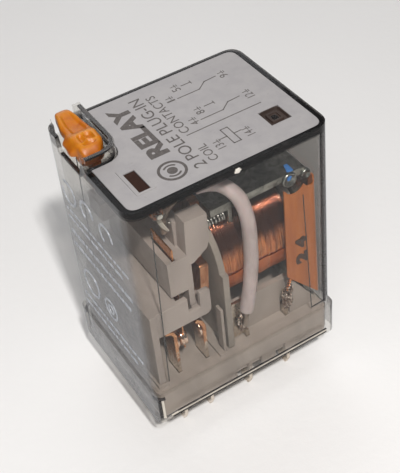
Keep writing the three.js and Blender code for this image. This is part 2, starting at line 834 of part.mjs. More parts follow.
SIDES.forEach((side, i) => {
  const pole = (name) => `${name}_${"ab"[i]}`;
  place(relay, pole("nc_terminal"), ncTerminal(side), TINNED);
  place(relay, pole("no_terminal"), noTerminal(side), TINNED);
  place(relay, pole("com_terminal"), comTerminal(side), TINNED);
  place(relay, pole("coil_terminal"), coilTerminal(side), TINNED);
  place(relay, pole("nc_contact"), contactDisc(ROW.nc + BLADE.thick / 2, side), SILVER);
  place(relay, pole("no_contact"), contactDisc(ROW.no - BLADE.thick / 2 - CONTACT.thick, side), SILVER);
  place(relay, pole("moving_spring"), movingSpring(side), BRONZE);
  place(relay, pole("moving_contact"), movingContact(side), SILVER);
  place(relay, pole("return_spring"), returnSpring(side), IRON);
  place(relay, pole("braid"), braid(side), COPPER);
  place(relay, pole("sleeve"), sleeve(side), SLEEVING);
  place(relay, pole("coil_lead"), coilLead(side), COPPER);
  place(relay, pole("com_solder"), solder(0.9, COM_TAB[1], side, 7.4, 0.8, 1.6), TINNED);
  place(relay, pole("coil_solder"), solder(7.9, COIL_POST[1], side, 7.6, 0.6, 1.3), TINNED);
});

const armatureGroup = groupAt(HINGE.x, 0, HINGE.z);
armatureGroup.rotation.y = THREE.MathUtils.degToRad(ARMATURE.tilt);
place(armatureGroup, "armature", armature(), IRON);

const leverGroup = groupAt(0, LEVER.y, LEVER.z);
place(leverGroup, "test_lever", testLever(), ORANGE);
place(leverGroup, "test_lever_pin", leverPin(), IRON);
place(relay, "test_plunger", testPlunger(), ORANGE);

const flagGroup = groupAt(FLAG.x, 0, FLAG.z);
flagGroup.rotation.y = THREE.MathUtils.degToRad(FLAG_REST);
place(flagGroup, "flag", flag(), ORANGE);
place(relay, "flag_pin", flagPin(), IRON);

export default relay;
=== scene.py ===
"""The looks of a clear-cased, two-pole plug-in relay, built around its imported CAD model.

Lengths in this file are millimetres and angles are degrees; MM turns them into Blender's metres.
+X runs from the contact end to the coil end, Y across the two poles, and +Z up.
"""

import math

import bmesh
import bpy
from mathutils import Matrix, Vector, noise


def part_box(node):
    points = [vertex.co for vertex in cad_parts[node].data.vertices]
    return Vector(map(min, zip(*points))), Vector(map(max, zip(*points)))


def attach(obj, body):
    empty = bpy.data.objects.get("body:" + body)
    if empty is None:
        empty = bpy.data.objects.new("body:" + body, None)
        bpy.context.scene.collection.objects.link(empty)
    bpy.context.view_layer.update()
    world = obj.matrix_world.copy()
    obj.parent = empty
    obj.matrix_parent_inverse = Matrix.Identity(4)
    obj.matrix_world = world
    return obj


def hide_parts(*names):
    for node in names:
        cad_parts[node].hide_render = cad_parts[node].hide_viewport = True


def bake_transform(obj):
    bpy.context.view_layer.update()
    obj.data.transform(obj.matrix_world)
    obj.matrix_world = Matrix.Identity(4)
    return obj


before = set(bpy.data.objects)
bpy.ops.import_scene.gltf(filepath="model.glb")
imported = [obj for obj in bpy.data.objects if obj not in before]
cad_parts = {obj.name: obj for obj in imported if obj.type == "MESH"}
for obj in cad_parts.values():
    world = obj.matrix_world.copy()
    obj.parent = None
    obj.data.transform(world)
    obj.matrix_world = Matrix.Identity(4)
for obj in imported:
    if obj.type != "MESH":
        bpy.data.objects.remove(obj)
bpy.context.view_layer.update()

MM = 0.001
SIDES = {"a": -1, "b": 1}  # the two poles, at -Y and at +Y


def box_mm(node):
    """The lowest and highest corners of a CAD node, in millimetres."""
    low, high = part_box(node)
    return low / MM, high / MM


# ---------- Places taken from the frame ----------
LABEL_LOW, LABEL_HIGH = box_mm("label")
BASE_HIGH = box_mm("base")[1]
COVER_HIGH = box_mm("cover")[1]
COIL_LOW, COIL_HIGH = box_mm("coil_winding")
LEVER_LOW, LEVER_HIGH = box_mm("test_lever")
PIN_LOW, PIN_HIGH = box_mm("test_lever_pin")
YOKE_LOW, YOKE_HIGH = box_mm("yoke")
FENCE_TOP = COVER_HIGH.z
FLOOR_Z = min(box_mm(f"coil_terminal_{pole}")[0].z for pole in SIDES)
COIL_Z = (COIL_LOW.z + COIL_HIGH.z) / 2
COIL_RADIUS = (COIL_HIGH.z - COIL_LOW.z) / 2
BODY_STEP = 0.2  # the cover's skirt stands this far out from its walls
BODY_X = COVER_HIGH.x - BODY_STEP  # half the cover's length and width at its foot
BODY_Y = COVER_HIGH.y - BODY_STEP
SKIRT_TOP = 4.9  # the height at which the skirt steps in to the walls
TOP_X = LABEL_HIGH.x + 0.79  # and the same at its top, where the walls have leaned in
TOP_Y = LABEL_HIGH.y + 0.52


def leaning(foot, top, z):
    """Half the cover's length or width at a height between its foot and its top."""
    return foot + (top - foot) * z / LABEL_HIGH.z


# ---------- Mesh helpers ----------
def show(name, data):
    """A new object in the scene for a mesh, a camera, a lamp or a text."""
    made = bpy.data.objects.new(name, data)
    bpy.context.scene.collection.objects.link(made)
    return made


class Build:
    """Vertices and faces gathered from several shapes, which become one piece."""

    def __init__(self, *shapes):
        self.vertices = []
        self.faces = []
        for shape in shapes:
            self.add(shape)

    def add(self, shape):
        vertices, faces = shape
        start = len(self.vertices)
        self.vertices += [Vector(v) for v in vertices]
        self.faces += [[start + i for i in face] for face in faces]

    def mesh(self, name):
        made = bpy.data.meshes.new(name)
        made.from_pydata([v * MM for v in self.vertices], [], self.faces)
        return made

    def piece(self, name, body, material, slot, replaces=(), sharp=35):
        mesh = self.mesh(name)
        work = bmesh.new()
        work.from_mesh(mesh)
        bmesh.ops.recalc_face_normals(work, faces=work.faces)
        work.to_mesh(mesh)
        work.free()
        mesh.materials.append(material)
        for face in mesh.polygons:
            face.use_smooth = True
        mesh.set_sharp_from_angle(angle=math.radians(sharp))
        made = show(name, mesh)
        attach(made, body)
        if replaces:
            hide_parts(*replaces)
        return made


def bevel(made, width, angle=35, material=-1):
    """Rounds the sharp edges of a piece."""
    rounding = made.modifiers.new("rounded_edges", "BEVEL")
    rounding.width = width * MM
    rounding.segments = 2
    rounding.limit_method = "ANGLE"
    rounding.angle_limit = math.radians(angle)
    rounding.material = material
    made.modifiers.new("even_normals", "WEIGHTED_NORMAL").weight = 80


def dress(node, material, width, angle=35, edge=None):
    """Gives a CAD node its material and rounded edges, which may have their own. Its mesh stays as it is."""
    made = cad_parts[node]
    materials = [material, edge] if edge else [material]
    while len(made.data.materials) < len(materials):
        made.data.materials.append(None)
    for held, wanted in zip(made.material_slots, materials):
        held.link = "OBJECT"
        held.material = wanted
    weld = made.modifiers.new("welded", "WELD")
    weld.merge_threshold = 0.002 * MM
    planar = made.modifiers.new("planar", "DECIMATE")
    planar.decimate_type = "DISSOLVE"
    planar.angle_limit = math.radians(0.6)
    bevel(made, width, angle, 1 if edge else -1)


def sections(rings, capped=True):
    """Vertices and faces of a skin over closed rings that hold the same number of points."""
    count = len(rings[0])
    vertices = [v for ring in rings for v in ring]
    faces = []
    for start in range(0, count * (len(rings) - 1), count):
        for i in range(count):
            beside = (i + 1) % count
            faces.append([start + i, start + beside, start + count + beside, start + count + i])
    if capped:
        faces.append(list(range(count))[::-1])
        faces.append([(len(rings) - 1) * count + i for i in range(count)])
    return vertices, faces


def cross_directions(path):
    """Two directions across a path at each of its points, which turn as little as they can along it."""
    last = len(path) - 1
    across = None
    found = []
    for i in range(len(path)):
        along = (path[min(i + 1, last)] - path[max(i - 1, 0)]).normalized()
        across = (across or along.orthogonal()).normalized()
        across = (across - along * across.dot(along)).normalized()
        found.append((across, along.cross(across)))
    return found


def around(count):
    """The cosine and sine of evenly spaced angles, once round."""
    return [(math.cos(t), math.sin(t)) for t in (2 * math.pi * k / count for k in range(count))]


def tube(path, radius, sides):
    """A tube along a path."""
    path = [Vector(p) for p in path]
    return sections(
        [
            [p + (a * c + b * s) * radius for c, s in around(sides)]
            for p, (a, b) in zip(path, cross_directions(path))
        ]
    )


def turned_x(profile, y, z, sides=40):
    """A closed outline of (radius, x) points turned about a line along X."""
    rings = [[(x, y - r * s, z + r * c) for r, x in profile] for c, s in around(sides)]
    rings.append(rings[0])
    return sections(rings, capped=False)


def between(p, q, first, last, t):
    """The point at t on the line that is at p at first and at q at last."""
    return p * ((last - t) / (last - first)) + q * ((t - first) / (last - first))


def smooth_path(points, steps):
    """Evenly spaced points on the centripetal Catmull-Rom curve through a few points."""
    points = [Vector(p) for p in points]
    ends = [2 * points[0] - points[1], *points, 2 * points[-1] - points[-2]]
    fine = []
    for p0, p1, p2, p3 in zip(ends, ends[1:], ends[2:], ends[3:]):
        t0 = 0.0
        t1 = t0 + (p1 - p0).length ** 0.5
        t2 = t1 + (p2 - p1).length ** 0.5
        t3 = t2 + (p3 - p2).length ** 0.5
        for k in range(40):
            t = t1 + (t2 - t1) * k / 40
            middle = between(p1, p2, t1, t2, t)
            before = between(between(p0, p1, t0, t1, t), middle, t0, t2, t)
            after = between(middle, between(p2, p3, t2, t3, t), t1, t3, t)
            fine.append(between(before, after, t1, t2, t))
    fine.append(points[-1])
    return evenly(fine, steps)


def evenly(path, steps):
    """The same path in steps of one length."""
    reach = [0.0]
    for a, b in zip(path, path[1:]):
        reach.append(reach[-1] + (b - a).length)
    made = []
    k = 0
    for i in range(steps + 1):
        wanted = reach[-1] * i / steps
        while k < len(path) - 2 and reach[k + 1] < wanted:
            k += 1
        share = (wanted - reach[k]) / max(reach[k + 1] - reach[k], 1e-9)
        made.append(path[k].lerp(path[k + 1], min(share, 1.0)))
    return made


def level(a, b, h):
    """Where a point of a level outline goes: the default for slab and flat_ring."""
    return (a, b, h)


def slab(outline, low, high, place=level):
    """An outline of (a, b) points between two heights; place(a, b, height) says where each point goes."""
    return sections([[place(a, b, h) for a, b in outline] for h in (low, high)])


def rectangle(a0, a1, b0, b1):
    return [(a0, b0), (a1, b0), (a1, b1), (a0, b1)]


def rounded(corners, radius, steps):
    """An outline whose (a, b) corners are rounded by short curves."""
    outline = []
    for i, corner in enumerate(corners):
        here = Vector(corner)
        before = (Vector(corners[i - 1]) - here).normalized() * radius
        after = (Vector(corners[(i + 1) % len(corners)]) - here).normalized() * radius
        for k in range(steps + 1):
            t = k / steps
            outline.append(tuple(here + before * (1 - t) ** 2 + after * t**2))
    return outline


def arc(x, y, radius, start, end, steps=10):
    turns = [math.radians(start + (end - start) * k / steps) for k in range(steps + 1)]
    return [(x + radius * math.cos(t), y + radius * math.sin(t)) for t in turns]


def flat_ring(x, y, outer, inner, turn, sweep, steps, low, high, place=level):
    """A flat ring, or a part of one, between two heights."""
    outline = ((inner, low), (inner, high), (outer, high), (outer, low))
    rings = [
        [place(x + r * c, y + r * s, h) for r, h in outline]
        for c, s in arc(0, 0, 1, turn, turn + sweep, steps)
    ]
    return sections(rings, capped=sweep < 360)


def patch(rows, thickness):
    """A closed sheet of even thickness on a grid of points."""
    grid = [[Vector(p) for p in row] for row in rows]
    wide = len(grid[0])
    outer, inner = [], []
    for i, row in enumerate(grid):
        for j, p in enumerate(row):
            u = grid[min(i + 1, len(grid) - 1)][j] - grid[max(i - 1, 0)][j]
            v = row[min(j + 1, wide - 1)] - row[max(j - 1, 0)]
            normal = u.cross(v).normalized() * (thickness / 2)
            outer.append(p + normal)
            inner.append(p - normal)
    count = len(outer)
    rim = list(range(wide))
    rim += [i * wide + wide - 1 for i in range(1, len(grid))]
    rim += [(len(grid) - 1) * wide + j for j in range(wide - 2, -1, -1)]
    rim += [i * wide for i in range(len(grid) - 2, 0, -1)]
    faces = []
    for i in range(len(grid) - 1):
        for j in range(wide - 1):
            a, b = i * wide + j, (i + 1) * wide + j
            faces.append([a, a + 1, b + 1, b])
            faces.append([count + b, count + b + 1, count + a + 1, count + a])
    for a, b in zip(rim, rim[1:] + rim[:1]):
        faces.append([b, a, count + a, count + b])
    return outer + inner, faces


def blob(centre, size, seed, roughness=0.35, spikes=()):
    """A lumpy bead: a sphere pushed in and out by noise and drawn out along spikes."""
    work = bmesh.new()
    bmesh.ops.create_icosphere(work, subdivisions=4, radius=1.0)
    for vertex in work.verts:
        way = vertex.co.normalized()
        lump = 1 + roughness * noise.noise(way * 1.7 + Vector((seed, 0, 0)))
        lump += 0.12 * noise.noise(way * 4.5 + Vector((0, seed, 0)))
        for spike, reach in spikes:
            aligned = max(0.0, way.dot(Vector(spike).normalized()))
            lump += reach * aligned**14
        vertex.co = Vector(c + s * w * lump for c, s, w in zip(centre, size, way))
    vertices = [v.co.copy() for v in work.verts]
    faces = [[v.index for v in face.verts] for face in work.faces]
    work.free()
    return vertices, faces


# ---------- Material helpers ----------
class Shader:
    """A material's nodes, added one by one. Patterns are sized in millimetres."""

    def __init__(self, name, **sockets):
        self.material = bpy.data.materials.new(name)
        self.material.use_nodes = True
        self.tree = self.material.node_tree
        self.surface = self.tree.nodes["Principled BSDF"]
        self.output = self.tree.nodes["Material Output"]
        for socket, value in sockets.items():
            self.feed(self.surface, socket.replace("_", " "), value)

    def add(self, kind, inputs=None, **settings):
        node = self.tree.nodes.new("ShaderNode" + kind)
        for name, value in settings.items():
            setattr(node, name, value)
        for name, value in (inputs or {}).items():
            self.feed(node, name, value)
        return node

    def feed(self, node, name, value):
        if isinstance(value, bpy.types.NodeSocket):
            self.tree.links.new(value, node.inputs[name])
        else:
            node.inputs[name].default_value = value

    def place(self, scale=(1, 1, 1)):
        """The point in the frame, in millimetres, stretched by the scale."""
        coordinates = self.add("TexCoord").outputs["Object"]
        size = [s / MM for s in scale]
        return self.add("Mapping", {"Vector": coordinates, "Scale": size}).outputs["Vector"]

    def axis(self, name):
        return self.add("SeparateXYZ", {"Vector": self.place()}).outputs[name]

    def noise(self, per_mm, detail=3.0, stretch=(1, 1, 1), roughness=0.55, distortion=0.0):
        inputs = {"Vector": self.place([s * per_mm for s in stretch]), "Scale": 1.0}
        inputs |= {"Detail": detail, "Roughness": roughness, "Distortion": distortion}
        return self.add("TexNoise", inputs).outputs["Fac"]

    def voronoi(self, per_mm, output="Distance"):
        cells = self.add("TexVoronoi", {"Vector": self.place((per_mm,) * 3), "Scale": 1.0})
        return cells.outputs[output]

    def fit(self, value, from_low, from_high, to_low, to_high):
        limits = {"From Min": from_low, "From Max": from_high, "To Min": to_low, "To Max": to_high}
        return self.add("MapRange", {"Value": value, **limits}, clamp=True).outputs["Result"]

    def math(self, operation, a, b=0.0):
        node = self.add("Math", operation=operation)
        self.feed(node, 0, a)
        self.feed(node, 1, b)
        return node.outputs[0]

    def mix(self, factor, a, b):
        node = self.add("Mix", {"Factor": factor}, data_type="RGBA")
        for index, colour in ((6, a), (7, b)):
            self.feed(node, index, colour)
        return node.outputs[2]

    def stain(self, pattern, start, end, amount, colour, other):
        """A colour that goes by an amount towards another one as a pattern rises from start to end."""
        return self.mix(self.fit(pattern, start, end, 0.0, amount), colour, other)

    def ramp(self, value, *stops):
        node = self.add("ValToRGB", {"Fac": value})
        elements = node.color_ramp.elements
        while len(elements) < len(stops):
            elements.new(0.5)
        for element, (at, colour) in zip(elements, stops):
            element.position = at
            element.color = colour
        return node.outputs["Color"]

    def bump(self, height, depth):
        inputs = {"Height": height, "Distance": depth * MM, "Strength": 1.0}
        normal = self.add("Bump", inputs).outputs["Normal"]
        self.tree.links.new(normal, self.surface.inputs["Normal"])
        return normal

    def colour(self, value):
        self.feed(self.surface, "Base Color", value)

    def roughness(self, pattern, low, high, start=0.3, end=0.7):
        """Roughness from low to high as a pattern rises from start to end."""
        self.feed(self.surface, "Roughness", self.fit(pattern, start, end, low, high))

    def see_through(self, colour):
        return self.add("BsdfTransparent", {"Color": colour})

    def gloss(self, colour, roughness, **more):
        return self.add("BsdfGlossy", {"Color": colour, "Roughness": roughness, **more})

    def diffuse(self, colour):
        return self.add("BsdfDiffuse", {"Color": colour})

    def blend(self, factor, a, b):
        """Two shaders mixed by a factor."""
        return self.add("MixShader", {0: factor, 1: a.outputs[0], 2: b.outputs[0]})

    def finish(self, shader):
        """Show a shader in place of the Principled one."""
        self.tree.links.new(shader.outputs[0], self.output.inputs["Surface"])
        self.tree.nodes.remove(self.surface)
        return self.material


def rgb(red, green, blue):
    """A linear colour from 0-255 display values."""
    return (*((c / 255) ** 2.2 for c in (red, green, blue)), 1.0)


# ---------- Materials ----------
def shade(colour, factor, lift=0.0):
    """A linear colour made darker or lighter."""
    return (*(min(c * factor + lift, 1.0) for c in colour[:3]), 1.0)


def moulded_plastic(name, colour, roughness, shine):
    """Moulded thermoplastic: faint flow marks, fine spark-eroded grain and handled, shinier patches."""
    made = Shader(name, Specular_IOR_Level=shine)
    flow = made.noise(0.22, detail=2.0, stretch=(1, 1, 0.4), distortion=0.8)
    dark = shade(colour, 0.86)
    mottled = made.ramp(flow, (0.35, dark), (0.65, shade(colour, 1.08)))
    made.colour(made.stain(made.noise(3.5, detail=5.0), 0.62, 0.72, 0.22, mottled, dark))
    made.roughness(made.noise(1.1), roughness - 0.08, roughness + 0.1)
    made.bump(made.noise(14.0, detail=4.0), 0.012)
    return made.material


def rolled_metal(name, colour, roughness, direction=(1, 1, 8), spangle=0.0, tarnish=None):
    """Rolled or drawn metal with fine lines across its grain, uneven tarnish and optional spangle."""
    made = Shader(name, Metallic=1.0)
    lines = made.noise(2.2, detail=6.0, stretch=direction)
    patches = made.noise(0.6, detail=5.0, distortion=1.5)
    stained = made.stain(patches, 0.42, 0.7, 0.75, colour, tarnish or shade(colour, 0.5))
    if spangle:
        cells = made.voronoi(0.9, output="Color")
        grey = made.add("RGBToBW", {"Color": cells}).outputs["Val"]
        flakes = made.fit(grey, 0.2, 0.8, 1.0 - spangle, 1.0 + spangle)
        stained = made.add("VectorMath", {0: stained, "Scale": flakes}, operation="SCALE").outputs[0]
    made.colour(stained)
    rough = made.math("ADD", made.fit(lines, 0.3, 0.7, -0.07, 0.09), roughness)
    rough = made.math("ADD", rough, made.fit(patches, 0.4, 0.75, 0.0, 0.18))
    made.feed(made.surface, "Roughness", rough)
    made.bump(lines, 0.006)
    return made.material


PALE_SHINE = rgb(235, 238, 242)


def clear_cover():
    """Clear, slightly smoky plastic: it lets light straight through, shines at a slant, is tinted dark at
    its rim and ends as painted shade for the light lost in the solid plastic, and is frosted on the face at
    the contact end."""
    made = Shader("clear_cover")
    slant = made.add("LayerWeight", {"Blend": 0.5}).outputs["Facing"]
    shine = made.fit(made.math("POWER", slant, 5.0), 0.0, 1.0, 0.018, 0.9)
    waves = made.noise(0.35, detail=2.0, stretch=(1, 1, 0.3))
    scratches = made.noise(6.0, detail=6.0, stretch=(1, 1, 0.05))
    normal = made.bump(made.math("ADD", waves, made.math("MULTIPLY", scratches, 0.02)), 0.05)
    gloss = made.gloss(PALE_SHINE, made.fit(waves, 0.3, 0.7, 0.03, 0.1), Normal=normal)
    height = made.axis("Z")
    wall = made.fit(height, 0.0, LABEL_HIGH.z, BODY_X, TOP_X)
    # Painted shade: the see-through colour darkens under the label's rim, along the far end wall seen
    # edge-on, and a little at the contact end.
    rim = made.fit(height, LABEL_LOW.z - 1.0, LABEL_LOW.z - 0.8, 0.0, 0.7)
    far_end_shade = made.fit(made.math("SUBTRACT", wall, made.axis("X")), 0.75, 0.6, 0.0, 1.0)
    far_end_shade = made.math("MULTIPLY", far_end_shade, made.fit(height, 3.0, 5.5, 0.4, 1.0))
    far_end_shade = made.math("MULTIPLY", far_end_shade, made.fit(slant, 0.42, 0.62, 0.08, 1.0))
    contact_end = made.fit(made.math("ADD", wall, made.axis("X")), 0.2, 0.05, 0.0, 1.0)
    dark = made.math("MAXIMUM", rim, far_end_shade)
    dark = made.math("MAXIMUM", dark, made.math("MULTIPLY", contact_end, 0.18))
    fence = made.fit(height, LABEL_HIGH.z + 0.1, LABEL_HIGH.z + 0.4, 0.0, 0.75)
    dark = made.math("SUBTRACT", dark, fence)
    through = made.see_through(made.mix(dark, rgb(244, 243, 241), rgb(92, 88, 88)))
    clear = made.blend(shine, through, gloss)
    haze = made.diffuse(made.mix(made.noise(1.2, detail=5.0), rgb(132, 131, 132), rgb(178, 179, 182)))
    below_rim = made.fit(height, LABEL_LOW.z - 4.0, LABEL_LOW.z - 9.0, 0.0, 1.0)
    frost = made.math("MULTIPLY", contact_end, below_rim)
    patches = made.fit(made.noise(0.28, detail=3.0), 0.35, 0.65, 0.22, 0.44)
    amount = made.math("ADD", made.math("MULTIPLY", frost, patches), 0.006)
    return made.finish(made.blend(amount, clear, haze))


def cover_edge():
    """The cover's rounded edges, where light is caught or lost: dark with a bright shine."""
    made = Shader("cover_edge")
    patches = made.noise(1.4, detail=3.0)
    gloss = made.gloss(PALE_SHINE, made.fit(patches, 0.3, 0.7, 0.05, 0.16))
    through = made.see_through(made.mix(patches, rgb(70, 68, 68), rgb(128, 124, 122)))
    return made.finish(made.blend(0.14, through, gloss))


def cover_rim():
    """Painted shade where the cover's solid rims trap light: nearly black and brown, with streaks of painted
    highlight and a soft shine.
    """
    made = Shader("cover_rim", Specular_IOR_Level=0.5)
    streaks = made.noise(0.9, detail=4.0, stretch=(0.5, 0.5, 3))
    black, brown, pale = rgb(18, 16, 17), rgb(44, 38, 38), rgb(96, 90, 88)
    made.colour(made.ramp(streaks, (0.4, black), (0.62, brown), (0.74, pale)))
    made.roughness(streaks, 0.2, 0.4)
    made.bump(streaks, 0.02)
    return made.material


def frosted_marks():
    """Moulded marks on the clear cover, cloudy where they stand proud."""
    made = Shader("frosted_marks")
    cloud = made.noise(2.5, detail=4.0)
    diffuse = made.diffuse(made.mix(cloud, rgb(186, 190, 198), rgb(226, 230, 238)))
    gloss = made.gloss(rgb(240, 242, 245), 0.25)
    through = made.see_through(rgb(240, 240, 240))
    amount = made.fit(cloud, 0.3, 0.7, 0.4, 0.8)
    return made.finish(made.blend(amount, through, made.blend(0.25, diffuse, gloss)))


def window_shade_lens():
    """The half see-through strip under the indicator window, tinted dark brown as painted shade for the
    unlit space below it.
    """
    made = Shader("window_shade_lens")
    through = made.see_through(rgb(112, 92, 86))
    cloud = made.noise(1.5, detail=3.0)
    body = made.diffuse(made.mix(cloud, rgb(66, 50, 46), rgb(84, 66, 60)))
    made.feed(body, "Roughness", made.fit(cloud, 0.3, 0.7, 0.1, 0.2))
    return made.finish(made.blend(0.5, through, body))


def label_film():
    """A printed polyester label: satin, pale grey, faintly mottled, with small darker specks."""
    made = Shader("label_film", Specular_IOR_Level=0.45)
    mottle = made.noise(0.5, detail=4.0)
    colour = made.stain(mottle, 0.35, 0.65, 1.0, rgb(140, 137, 138), rgb(148, 145, 145))
    made.colour(made.stain(made.noise(2.4, detail=6.0), 0.64, 0.7, 0.3, colour, rgb(122, 118, 116)))
    made.roughness(mottle, 0.36, 0.48)
    made.bump(made.noise(9.0, detail=5.0), 0.004)
    return made.material


def ink(name, colour):
    """Screen-printed ink, a little uneven in density."""
    made = Shader(name, Specular_IOR_Level=0.4)
    made.colour(made.stain(made.noise(3.0, detail=5.0), 0.45, 0.72, 0.55, colour, shade(colour, 1.9, 0.01)))
    made.roughness(made.noise(5.0), 0.42, 0.6)
    made.bump(made.noise(16.0, detail=3.0), 0.003)
    return made.material


def winding_copper():
    """Enamelled copper wire: metal under thin varnish, redder in uneven bands, with a painted dark
    reflection in its upper half.
    """
    made = Shader("winding_copper", Metallic=0.9, Coat_Weight=1.0, Coat_Roughness=0.04, Coat_IOR=1.6)
    bands = made.noise(0.5, detail=4.0, stretch=(2.4, 0.5, 0.5))
    turns = made.noise(7.0, detail=3.0, stretch=(1, 0.1, 0.1))
    threads = made.noise(2.6, detail=5.0, stretch=(1, 0.05, 0.05), roughness=0.7)
    colour = made.stain(bands, 0.35, 0.65, 1.0, rgb(246, 166, 100), rgb(216, 132, 76))
    colour = made.stain(threads, 0.46, 0.62, 0.7, colour, rgb(132, 70, 40))
    colour = made.stain(turns, 0.45, 0.7, 0.5, colour, rgb(130, 76, 54))
    # Painted reflection: the winding's upper half is coloured dark maroon, standing in for the dark room it
    # mirrors.
    rise = made.math("ADD", made.axis("Z"), made.fit(bands, 0.3, 0.7, -0.5, 0.5))
    reflection_dark_from, reflection_dark_to = COIL_Z + 0.18 * COIL_RADIUS, COIL_Z + 0.45 * COIL_RADIUS
    made.colour(made.stain(rise, reflection_dark_from, reflection_dark_to, 0.85, colour, rgb(96, 50, 42)))
    made.roughness(turns, 0.12, 0.24)
    made.feed(made.surface, "Coat Normal", made.bump(made.noise(3.0, detail=4.0), 0.012))
    return made.material


def insulating_tape(name, colour, darker):
    """Orange-brown film: glossy, with soft creases and cloudy patches."""
    made = Shader(name, Coat_Weight=0.2, Coat_Roughness=0.12, Specular_IOR_Level=0.35)
    creases = made.noise(0.35, detail=3.0, stretch=(2.5, 1, 0.25))
    clouds = made.noise(1.6, detail=4.0)
    tinted = made.stain(creases, 0.38, 0.64, 1.0, colour, darker)
    made.colour(made.stain(clouds, 0.5, 0.75, 0.35, tinted, darker))
    made.roughness(clouds, 0.3, 0.42)
    made.bump(creases, 0.05)
    return made.material


def sleeving():
    """Silicone-coated glass sleeving: matt, off-white, with the braid just showing through."""
    made = Shader("sleeving", Subsurface_Weight=0.15, Subsurface_Scale=0.4 * MM)
    weave = made.voronoi(3.2)
    stains = made.noise(0.7, detail=4.0, stretch=(1, 1, 0.4))
    colour = made.stain(stains, 0.4, 0.7, 1.0, rgb(200, 186, 186), rgb(178, 164, 163))
    made.colour(made.stain(made.noise(1.3, detail=2.0), 0.68, 0.74, 0.3, colour, rgb(112, 102, 96)))
    made.roughness(weave, 0.62, 0.48, 0.0, 0.7)
    made.bump(weave, 0.012)
    return made.material


def orange_plastic():
    """Orange nylon: saturated, faintly translucent, with a painted highlight that makes it paler towards its
    top.
    """
    made = Shader(
        "orange_plastic", Subsurface_Weight=0.2, Subsurface_Scale=0.5 * MM, Specular_IOR_Level=0.45
    )
    flow = made.noise(0.6, detail=3.0, distortion=1.0)
    colour = made.stain(flow, 0.35, 0.65, 1.0, rgb(174, 100, 4), rgb(158, 82, 1))
    top = LEVER_HIGH.z
    # Painted highlight: the top half millimetre is coloured paler.
    made.colour(made.stain(made.axis("Z"), top - 0.5, top, 0.5, colour, rgb(202, 134, 34)))
    made.roughness(made.noise(2.0), 0.34, 0.5)
    made.bump(made.noise(9.0, detail=4.0), 0.02)
    return made.material


def solder_alloy():
    """Hand-run solder: bright and lumpy, with dull flux stains."""
    made = Shader("solder_alloy", Metallic=1.0)
    flux = made.noise(1.8, detail=4.0)
    made.colour(made.stain(flux, 0.42, 0.56, 0.85, rgb(206, 194, 184), rgb(96, 66, 48)))
    made.roughness(made.noise(3.0), 0.14, 0.42, 0.35, 0.65)
    made.bump(made.noise(6.0, detail=4.0), 0.06)
    return made.material


def plated_terminal():
    """A contact terminal: bare bronze around its contact, tinned towards its blade."""
    made = Shader("plated_terminal", Metallic=1.0)
    lines = made.noise(2.2, detail=6.0, stretch=(1, 1, 6))
    patches = made.noise(0.7, detail=5.0, distortion=1.5)
    height = made.math("ADD", made.axis("Z"), made.fit(patches, 0.3, 0.7, -1.5, 1.5))
    tin = made.stain(patches, 0.45, 0.7, 0.8, rgb(220, 210, 198), rgb(160, 144, 126))
    bronze = made.stain(patches, 0.45, 0.7, 0.8, rgb(226, 170, 128), rgb(168, 108, 74))
    made.colour(made.stain(height, BASE_HIGH.z - 5.5, BASE_HIGH.z - 4.0, 1.0, tin, bronze))
    made.roughness(lines, 0.16, 0.32)
    made.bump(lines, 0.008)
    return made.material


def chromated_steel():
    """Yellow-passivated steel: coppery, with vertical rolling lines."""
    made = Shader("chromated_steel", Metallic=1.0)
    lines = made.noise(1.6, detail=5.0, stretch=(1, 6, 0.4))
    made.colour(made.stain(lines, 0.35, 0.65, 1.0, rgb(220, 166, 128), rgb(178, 120, 86)))
    made.roughness(lines, 0.28, 0.46)
    made.bump(lines, 0.012)
    return made.material


def pale_floor():
    made = Shader("pale_floor")
    made.colour(made.mix(made.noise(0.01, detail=3.0), rgb(222, 221, 220), rgb(230, 229, 228)))
    made.roughness(made.noise(0.05), 0.6, 0.75)
    made.bump(made.noise(0.8, detail=5.0), 0.05)
    return made.material


CLEAR = clear_cover()
EDGE = cover_edge()
RIM = cover_rim()
FROSTED = frosted_marks()
LENS = window_shade_lens()
LABEL = label_film()
DARK_INK = ink("dark_ink", rgb(74, 69, 67))
BROWN_INK = ink("brown_ink", rgb(66, 44, 32))
BLUE_PAINT = ink("blue_paint", rgb(58, 118, 190))
HOUSING = moulded_plastic("housing_plastic", rgb(166, 156, 149), 0.5, 0.4)
CARRIER = moulded_plastic("carrier_plastic", rgb(168, 158, 153), 0.45, 0.45)
BOBBIN = moulded_plastic("bobbin_plastic", rgb(150, 142, 134), 0.45, 0.45)
PALE = moulded_plastic("pale_plastic", rgb(214, 208, 198), 0.42, 0.45)
# Painted shade: dark brown plastic that lines the square window's well.
SHADOW = moulded_plastic("recess_painted_shade", rgb(58, 48, 44), 0.6, 0.3)
STEEL = rolled_metal("zinc_steel", rgb(150, 150, 144), 0.3, (8, 1, 1), 0.16, rgb(88, 88, 82))
BRIGHT = rolled_metal("bright_steel", rgb(206, 206, 200), 0.2)
PEWTER = rolled_metal("worn_zinc", rgb(150, 154, 150), 0.26, tarnish=rgb(96, 100, 96))
BRONZE = rolled_metal("spring_bronze", rgb(222, 160, 112), 0.22, (1, 8, 1), tarnish=rgb(176, 112, 74))
SILVER = rolled_metal("contact_silver", rgb(244, 222, 206), 0.12, (1, 1, 1), tarnish=rgb(198, 152, 120))
TINNED = rolled_metal("tinned_brass", rgb(214, 204, 190), 0.24, (1, 1, 6), tarnish=rgb(158, 140, 120))
BRAID = rolled_metal("braid_wire", rgb(172, 158, 146), 0.36, tarnish=rgb(112, 92, 80))
TERMINAL = plated_terminal()
CHROMATED = chromated_steel()
COPPER = winding_copper()
TAPE = insulating_tape("film_tape", rgb(181, 104, 43), rgb(164, 90, 34))
WRAP = insulating_tape("coil_wrap_tape", rgb(190, 104, 50), rgb(160, 80, 38))
